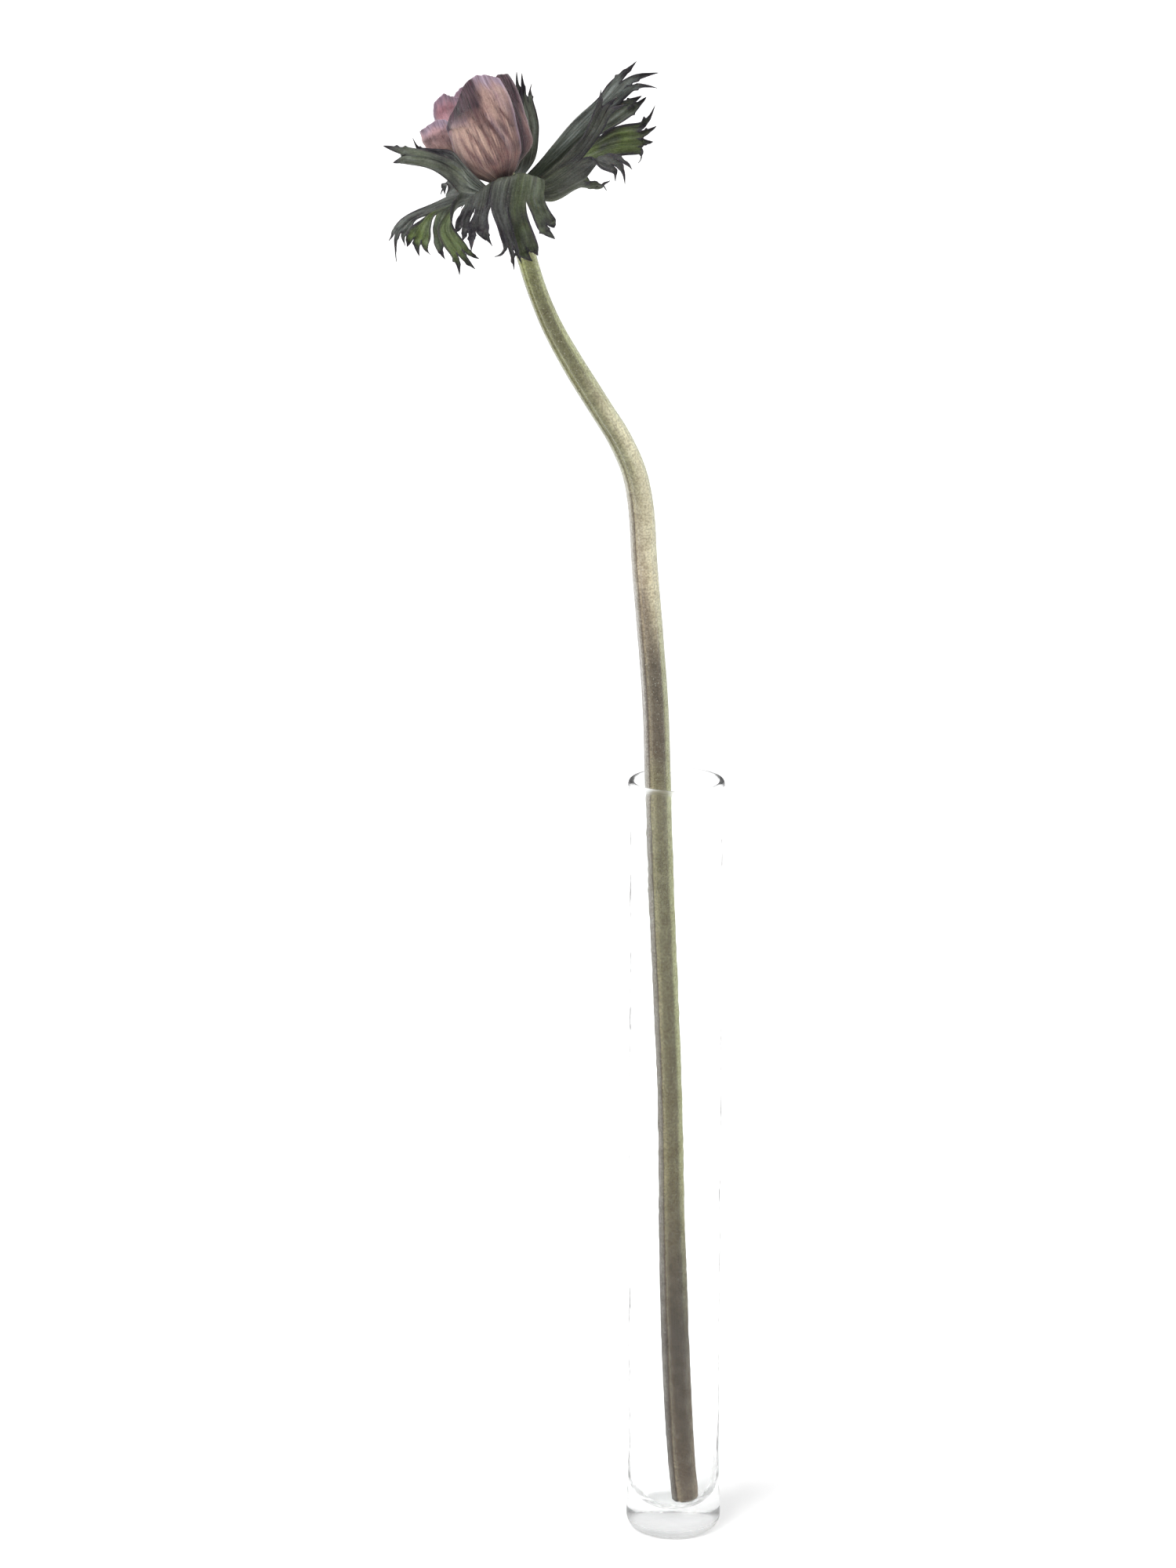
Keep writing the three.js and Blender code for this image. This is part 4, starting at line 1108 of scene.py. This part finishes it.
RIGHT_LOBES = [
    dict(
        line=[(9.4, 4.6, 7.2), (18.6, 6.8, 16), (24, 6.2, 21.4), (28, 4.4, 25.6)],
        tips=[(31.6, 3, 31.5), (37.1, 0, 29.1), (36.8, 1.4, 25.8)],
        # this lobe's pale upper face is partly painted light, on an inner face that lies in shade
        half=2.9, across=(0.8, 0.2, -0.7), lift=0.5, upper=(0.1, 0.85, 0.0), under=(0.1, 0.75, 0.0),
    ),
    dict(
        line=[(9.8, 5.8, 4.8), (19, 8.2, 11.8), (24.2, 7.6, 15.6), (29.4, 6, 19.6)],
        tips=[(32.8, 4.6, 22.9), (34.3, 3.4, 23.1)],
        half=2.2, across=(0.6, -0.1, -0.8), lift=0.5, upper=(0.3, 0.3, 0.15), under=(0.2, 0.4, 0.2),
    ),
    dict(
        line=[(10.4, 4.2, 2.2), (19, 5.4, 8.4), (25, 4.2, 11.4), (32.2, 0.6, 12.8)],
        tips=[(36, 1, 21.2), (36.8, -1.6, 16.3), (36.2, -2.6, 12.4), (32.4, -4.2, 7.2)],
        half=4, across=(0.2, -0.35, -0.9), lift=0.8,
        upper=(0.9, 0.0, 0.15), under=(0.1, 0.35, 0.3), dark_from=1.25,
    ),
    dict(
        line=[(10.2, 0, -2.6), (17.8, -0.6, 0.8), (21.6, -1.6, 1.4)],
        tips=[(25, -1.2, 3), (24.2, -2.8, 0.8)],
        half=1.9, across=(0.1, -0.8, 0.75), lift=0.3, upper=(0.5, 0.0, 0.4), under=(0.7, 0.0, 0.3),
    ),
    dict(
        line=[(10.2, -3.8, 1.4), (18.4, -8, 7.2), (22, -10.4, 9.2), (25.6, -12, 8.6)],
        tips=[(30.4, -12.4, 7.3), (28.8, -12.8, 2.8), (26.2, -12, 4.7)],
        half=2.8, across=(-0.2, -0.75, -0.6), lift=-0.6, upper=(0.0, 0.1, 0.4), under=(0.1, 0.1, 0.55),
    ),
    dict(
        line=[(10.2, -5, 4.6), (17, -8, 10.6), (20.4, -8.6, 15.2), (23.2, -8.6, 20.8)],
        tips=[(29.2, -9.4, 22.6), (27, -8.8, 24.4), (22.6, -7.2, 26)],
        half=2, across=(-0.85, 0.1, 0.35), lift=-0.5, upper=(0.2, 0.05, 0.4), dark_from=1.35,
    ),
]
# Each bract's arc round the stem, from and to an azimuth at a height, and its tones at the base
BRACTS = {
    "bract_front": dict(
        arc=(-152, -34, -1.6), base=((0.35, 0.15, 0.15), (0.4, 0.2, 0.05)), lobes=FRONT_LOBES
    ),
    "bract_left": dict(
        arc=(-158, -292, -0.4), base=((0.1, 1.2, 0.0), (0.15, 1.1, 0.0)), lobes=LEFT_LOBES
    ),
    "bract_right": dict(
        # the right bract's pale upper base is partly painted light, on an inner face that lies in shade
        arc=(62, -26, -1), base=((0.6, 0.5, 0.0), (0.75, 0.0, 0.2)), lobes=RIGHT_LOBES
    ),
}
STEM_LEAN = Vector((-0.3, -0.05, 1)).normalized()
COLLAR = COLLAR_RADIUS + GAP + BLADE / 2 + 0.15
TOOTH_COLUMNS = 12
PLATE_ROWS = 30
LOBE_ROWS = 20
TOOTH_ROWS = 22
COLLAR_ROWS = 0.2  # share of the plate where it leaves the arc round the stem
BARB_LENGTH = 0.16  # share of the tooth
BARB_END = 0.07
BRACT_HAIRS = 500
# Relief of a bract, in millimetres
FOLDING = 0.8
CRUMPLING = 0.2
FINE_CRUMPLING = 0.04
MIDRIB = 0.07
FINE_RIBS = 0.03


class Bract:
    """The surface of one bract, by lobe, place across it from -1 to 1 and share along it.

    The share runs from 0 to 1 along the plate, to 2 along a lobe and to 3 at the tip of a tooth.
    """

    def __init__(self, arc, base, lobes):
        self.arc = arc
        self.base = base
        self.lobes = lobes
        self.teeth = [len(lobe["tips"]) for lobe in lobes]
        self.before = [sum(self.teeth[:k]) for k in range(len(lobes))]
        self.lines = [Line(lobe["line"]) for lobe in lobes]
        self.routes = []
        for k, lobe in enumerate(lobes):
            foot = self.collar(self.before[k] + self.teeth[k] / 2)
            self.routes.append(Line([foot, *lobe["line"][:3]], centripetal=False))
        draw = random.Random(int(arc[0]))
        self.habits = [self.habit(draw) for _ in range(sum(self.teeth))]
        # 1 where the grids' normals point to the upper face, -1 where they point to the under face
        self.sense = 1 if arc[1] < arc[0] else -1

    def habit(self, draw):
        """How one tooth grows: its barbs on each side, how its tip hooks and how its edges roll."""
        sides = (-1, 1, draw.choice((-1, 1)))
        barbs = [(side, draw.uniform(0.18, 0.75), draw.uniform(0.25, 0.75)) for side in sides]
        return {"barbs": barbs, "hook": draw.uniform(-1.5, 1.5), "roll": draw.uniform(-0.2, 0.5)}

    def collar(self, tooth):
        """The arc round the stem, by the number of teeth along it."""
        first, last, height = self.arc
        azimuth = math.radians(first + (last - first) * tooth / sum(self.teeth))
        out = Vector((math.cos(azimuth), math.sin(azimuth), 0))
        out -= STEM_LEAN * out.dot(STEM_LEAN)
        return out.normalized() * COLLAR + STEM_LEAN * height

    @cache
    def row(self, share):
        """The line across the plate at a share of its length."""
        middles = [route.at(share * 2 / 3) for route in self.routes]
        grown_out = 0.35 + 0.65 * smooth(share)
        start = middles[0] + (middles[0] - middles[1]).normalized() * self.lobes[0]["half"] * grown_out
        end = middles[-1] + (middles[-1] - middles[-2]).normalized() * self.lobes[-1]["half"] * grown_out
        return Line([start, *middles, end])

    def plate(self, k, across, share):
        last = len(self.lobes) - 1
        low = 0 if k == 0 else k + 0.5
        high = last + 2 if k == last else k + 1.5
        along = k + 1 + across * (k + 1 - low if across < 0 else high - k - 1)
        point = self.row(share).at(along / (last + 2))
        leaving = clamp(share / COLLAR_ROWS)
        foot = self.collar(self.before[k] + (across + 1) / 2 * self.teeth[k])
        return foot.lerp(point, leaving * (2 - leaving))

    @cache
    def lobe_frame(self, k, share):
        line = self.lines[k]
        parting = 1 / (len(line.points) - 1)
        along = parting + (1 - parting) * share
        ahead = line.ahead(along)
        across = Vector(self.lobes[k]["across"]).normalized()
        side = (across - ahead * across.dot(ahead)).normalized()
        return line.at(along), ahead, side, side.cross(ahead)

    @cache
    def lobe(self, k, across, share):
        spec = self.lobes[k]
        middle, _, side, face = self.lobe_frame(k, share)
        settling = smooth(share * 1.15)
        half = spec["half"] * (0.8 + 0.2 * smooth(share * 1.6))
        settled = side * (across * half) + face * (spec["lift"] * (across**2 - 0.4))
        rooted = (self.plate(k, across, 1) - self.plate(k, 0, 1)) * (1 - 0.35 * share)
        return middle + rooted * (1 - settling) + settled * settling

    def on_tooth(self, k, n, across=0.0):
        """The place across a lobe of a place across its tooth."""
        return (2 * n + 1 + across) / self.teeth[k] - 1

    def barbed(self, k, n, across, share, length):
        """How much wider the forward-pointing barbs make a tooth here; short teeth have small ones."""
        wider = 1.0
        for side, place, height in self.habits[self.before[k] + n]["barbs"]:
            if side * across > 0:
                before = (share - place + BARB_LENGTH) / BARB_LENGTH
                after = 1 - (share - place) / BARB_END
                wider += height * smooth((length - 2) / 4) * clamp(min(before, after)) * across**2
        return wider

    def tooth(self, k, n, across, share):
        start = self.lobe(k, self.on_tooth(k, n, across), 1)
        root = self.lobe(k, self.on_tooth(k, n), 1)
        tip = Vector(self.lobes[k]["tips"][n])
        length = (root - tip).length
        _, ahead, _, face = self.lobe_frame(k, 1)
        bend = root + ahead * length * 0.4
        middle = root * (1 - share) ** 2 + bend * (2 * share * (1 - share)) + tip * share**2
        hook = self.habits[self.before[k] + n]["hook"] * smooth((share - 0.5) / 0.6) ** 2
        width = (1 - 0.25 * share - 0.75 * share**2.4) * self.barbed(k, n, across, share, length)
        return middle + face * hook + (start - root) * width

    def folds(self, across, share):
        """Soft folds and crumpling, in millimetres."""
        seed = self.arc[0]
        folds = FOLDING * wobble(across * 0.6, share * 1.7, seed)
        folds += CRUMPLING * wobble(across * 1.5, share * 3.2, seed + 3)
        return folds + FINE_CRUMPLING * wobble(across * 5, share * 9, seed + 6)

    def relief(self, k, within, share, edge):
        """Pleats that dip along the midrib of each tooth, fine ribs, folds and rolled edges."""
        aside = off_midrib(within)
        across = self.before[k] + within
        pleat = 0.03 + 0.37 * smooth(share - 0.6) - 0.18 * smooth(share - 2)
        height = pleat * (aside**1.4 - 0.4)
        height += MIDRIB * window(aside, 0, 0.14) * smooth(share)
        ribs = self.lobes[k].get("ribs", FINE_RIBS)
        height += ribs * math.cos(math.tau * 2 * within) * window(share, 0.75, 0.6)
        height += self.folds(across, share) * smooth(share * 1.4)
        roll = self.habits[self.before[k] + int(within)]["roll"]
        height += roll * smooth((edge - 0.6) / 0.4) * smooth((share - 0.9) * 2)
        return height * smooth(share * 4) * smooth((3.05 - share) * 2)

    def own_tone(self, k, face):
        spec = self.lobes[k]
        return Vector(spec.get(face, spec["upper"]))

    def tones(self, k, across, within, share, edge, face):
        """How green, pale and dark a face is, with painted highlight on fold tops and painted shade in fold
        valleys, and how much of a rib; face is upper or under.
        """
        seed = self.arc[0]
        own = self.own_tone(k, face)
        beside = k + (1 if across > 0 else -1)
        if 0 <= beside < len(self.lobes):
            blend = 0.5 * smooth((abs(across) - 0.2) / 0.8) * (1 - smooth(share - 1))
            own = own.lerp(self.own_tone(beside, face), blend)
        tone = Vector(self.base[face == "under"]).lerp(own, smooth(share * 0.9 - 0.1))
        place = self.before[k] + within
        cloud = wobble(place * 1.1, share * 2.6, seed + 20)
        cloud += 0.6 * wobble(place * 3.1, share * 6.5, seed + 24)
        streak = wobble(place * 6.5, share * 2.4, seed + 28)
        margin = 0.9 * smooth((edge - 0.72) / 0.28) * smooth((share - 0.9) * 1.5)
        dark_from = self.lobes[k].get("dark_from", 1.95)
        tip = 0.92 * smooth((share - dark_from + 0.25 * cloud) / (2.9 - dark_from))
        # painted light: fold tops paler as painted highlight, fold valleys darker as painted shade
        painted_fold_light = self.folds(place, share) * (1 if face == "upper" else -1) + 0.3 * streak
        dark = max(tone.z + 0.35 * cloud + 0.3 * streak, tip) + margin + 0.45 * smooth(-2.2 * painted_fold_light)
        pale = tone.y * (1 + 0.5 * streak) - 0.3 * max(0, cloud) + 0.2 * smooth(2 * painted_fold_light) * (1 - tip)
        aside = off_midrib(within)
        rib = 0.5 * window(aside, 0, 0.11) + 0.2 * window(aside, 0.55, 0.08)
        if "ribs" in self.lobes[k]:
            rib = max(rib, 0.9 * smooth(0.5 - math.cos(math.tau * 2 * within)) * window(share, 0.7, 0.7))
        return (clamp(tone.x), clamp(pale), clamp(dark), rib * smooth(share * 3))

    def spot(self, k, across, share, surface):
        """All that the blade keeps at a place of a lobe: point, uv, relief, fullness and tones."""
        within = clamp((across + 1) / 2 * self.teeth[k], 0, self.teeth[k] - 1e-6)
        edge = abs(across) + (off_midrib(within) - abs(across)) * smooth((share - 1.9) * 8)
        relief = self.relief(k, within, share, edge) * self.sense
        fullness = 1 - 0.75 * smooth((edge - 0.6) / 0.4) * smooth(share - 0.8)
        fullness *= 1 - 0.75 * smooth(share - 2)
        tones = [self.tones(k, across, within, share, edge, face) for face in ("upper", "under")]
        return HEAD + surface, (self.before[k] + within, share), relief, fullness, tones

    def build(self):
        blade = Blade("upper_tones", "under_tones")
        for k, teeth in enumerate(self.teeth):

            def plate(across, along):
                return self.spot(k, across, along, self.plate(k, across, along))

            def lobe(across, along):
                return self.spot(k, across, 1 + along, self.lobe(k, across, along))

            blade.lay(teeth * TOOTH_COLUMNS, PLATE_ROWS, plate)
            blade.lay(teeth * TOOTH_COLUMNS, LOBE_ROWS, lobe)
            for n in range(teeth):

                def tooth(across, along):
                    aside = self.on_tooth(k, n, across)
                    return self.spot(k, aside, 2 + along, self.tooth(k, n, across, along))

                blade.lay(TOOTH_COLUMNS, TOOTH_ROWS, tooth)
        mesh = blade.settle()
        if self.sense > 0:
            bmesh.ops.reverse_faces(mesh, faces=mesh.faces[:])
        return mesh


def off_midrib(within):
    """0 on the midrib of a tooth, 1 between two teeth, by the number of teeth across a lobe."""
    return abs(within - int(within) - 0.5) * 2


def bract(name, finishes):
    mesh = Bract(**BRACTS[name]).build()
    draw = random.Random(23)
    down = bmesh.new()
    mesh.verts.ensure_lookup_table()
    for _ in range(BRACT_HAIRS):
        foot = mesh.verts[draw.randrange(len(mesh.verts))]
        side = draw.choice((-1, 1))
        out = foot.normal * side + Vector([draw.uniform(-0.6, 0.6) for _ in range(3)])
        hair(down, foot.co / MM, out, draw.uniform(0.25, 0.5))
    made = piece(name + "_blade", mesh, finishes, name)
    give_thickness(made, BRACT_THICKNESS)
    piece(name + "_down", down, [down_finish()])


# Stage: a pale floor, soft light and the camera

FLOOR_REACH = 30  # metres from its middle to its sides
FLOOR_DROP = 0.0002  # below the foot, so that they don't coincide


def stage():
    mesh = bmesh.new()
    bmesh.ops.create_grid(mesh, x_segments=1, y_segments=1, size=FLOOR_REACH)
    bmesh.ops.translate(mesh, verts=mesh.verts[:], vec=(0, 0, -FLOOR_DROP))
    nodes = Finish("white studio floor", roughness=0.9)
    tint = nodes.mix(nodes.noise(nodes.place, 6.0), (0.86, 0.86, 0.86), (0.88, 0.88, 0.88))
    put("floor", finished("floor", mesh, [nodes.connect(tint)]))


SKY_LEVEL = 0.52
SKY_BEHIND = 0.4
SKY_ABOVE = 0.1
SKY_THROUGH_GLASS = 0.72


def softbox(name, energy, spread, place):
    """A broad light from far off, in the direction of its place."""
    lamp = bpy.data.lights.new(name, "SUN")
    lamp.energy = energy
    lamp.angle = math.radians(spread)
    put(name, lamp).rotation_euler = Vector(place).to_track_quat("Z", "Y").to_euler()


def lights():
    """White all round, brighter behind the flower than before it, and two broad lights from above."""
    world = bpy.data.worlds.new("white studio")
    world.use_nodes = True
    nodes = Nodes(world.node_tree)
    direction = nodes.add("TexCoord", {})
    behind = nodes.times(nodes.coordinate(direction, "Y"), SKY_BEHIND)
    above = nodes.times(nodes.coordinate(direction, "Z"), SKY_ABOVE)
    level = nodes.plus(nodes.plus(behind, above), SKY_LEVEL)
    seen = nodes.add("LightPath", {})
    through_glass = nodes.times(seen.node.outputs["Is Transmission Ray"], SKY_THROUGH_GLASS)
    strength = nodes.math("MAXIMUM", nodes.math("MAXIMUM", seen, through_glass), level)
    nodes.fill(world.node_tree.nodes["Background"], {"Strength": strength, "Color": (1, 1, 1, 1)})
    bpy.context.scene.world = world
    softbox("left softbox", 2.8, 35, (-0.42, -0.42, 0.8))
    softbox("right softbox", 1.3, 50, (0.6, -0.2, 0.78))
    bpy.context.scene.view_settings.view_transform = "Standard"


CAMERA_PLACE = (-0.022777, -1.240363, 0.541746)
CAMERA_PITCH = math.radians(90 - 15.2)
CAMERA_LENS = 114.75


def camera():
    lens = bpy.data.cameras.new("camera")
    lens.lens = CAMERA_LENS
    lens.sensor_width = 36
    made = put("camera", lens)
    made.location = CAMERA_PLACE
    made.rotation_euler = (CAMERA_PITCH, 0, 0)
    bpy.context.scene.camera = made


camera()
stage()
lights()
vase()
stem()
stem_down()
centre()
petal_faces = [
    petal_finish("petal outer face", tan=(0.5, 0.355, 0.29), rose=(0.29, 0.165, 0.165), depth=0.95),
    # the inner face is paler than the outer, partly painted light on inner faces that lie in shade
    petal_finish("petal inner face", tan=(0.66, 0.47, 0.47), rose=(0.6, 0.38, 0.44), depth=0.35),
]
for petal_name in PETALS:
    petal(petal_name, petal_faces)
bract_faces = [
    bract_finish(
        "bract under face", "under_tones",
        grey=(0.045, 0.048, 0.037), green=(0.05, 0.062, 0.022), rib_shade=(1.35, 1.35, 1.25),
    ),
    bract_finish(
        "bract upper face", "upper_tones",
        grey=(0.041, 0.043, 0.034), green=(0.085, 0.12, 0.026), rib_shade=(0.5, 0.55, 0.45),
    ),
]
for bract_name in BRACTS:
    bract(bract_name, bract_faces)
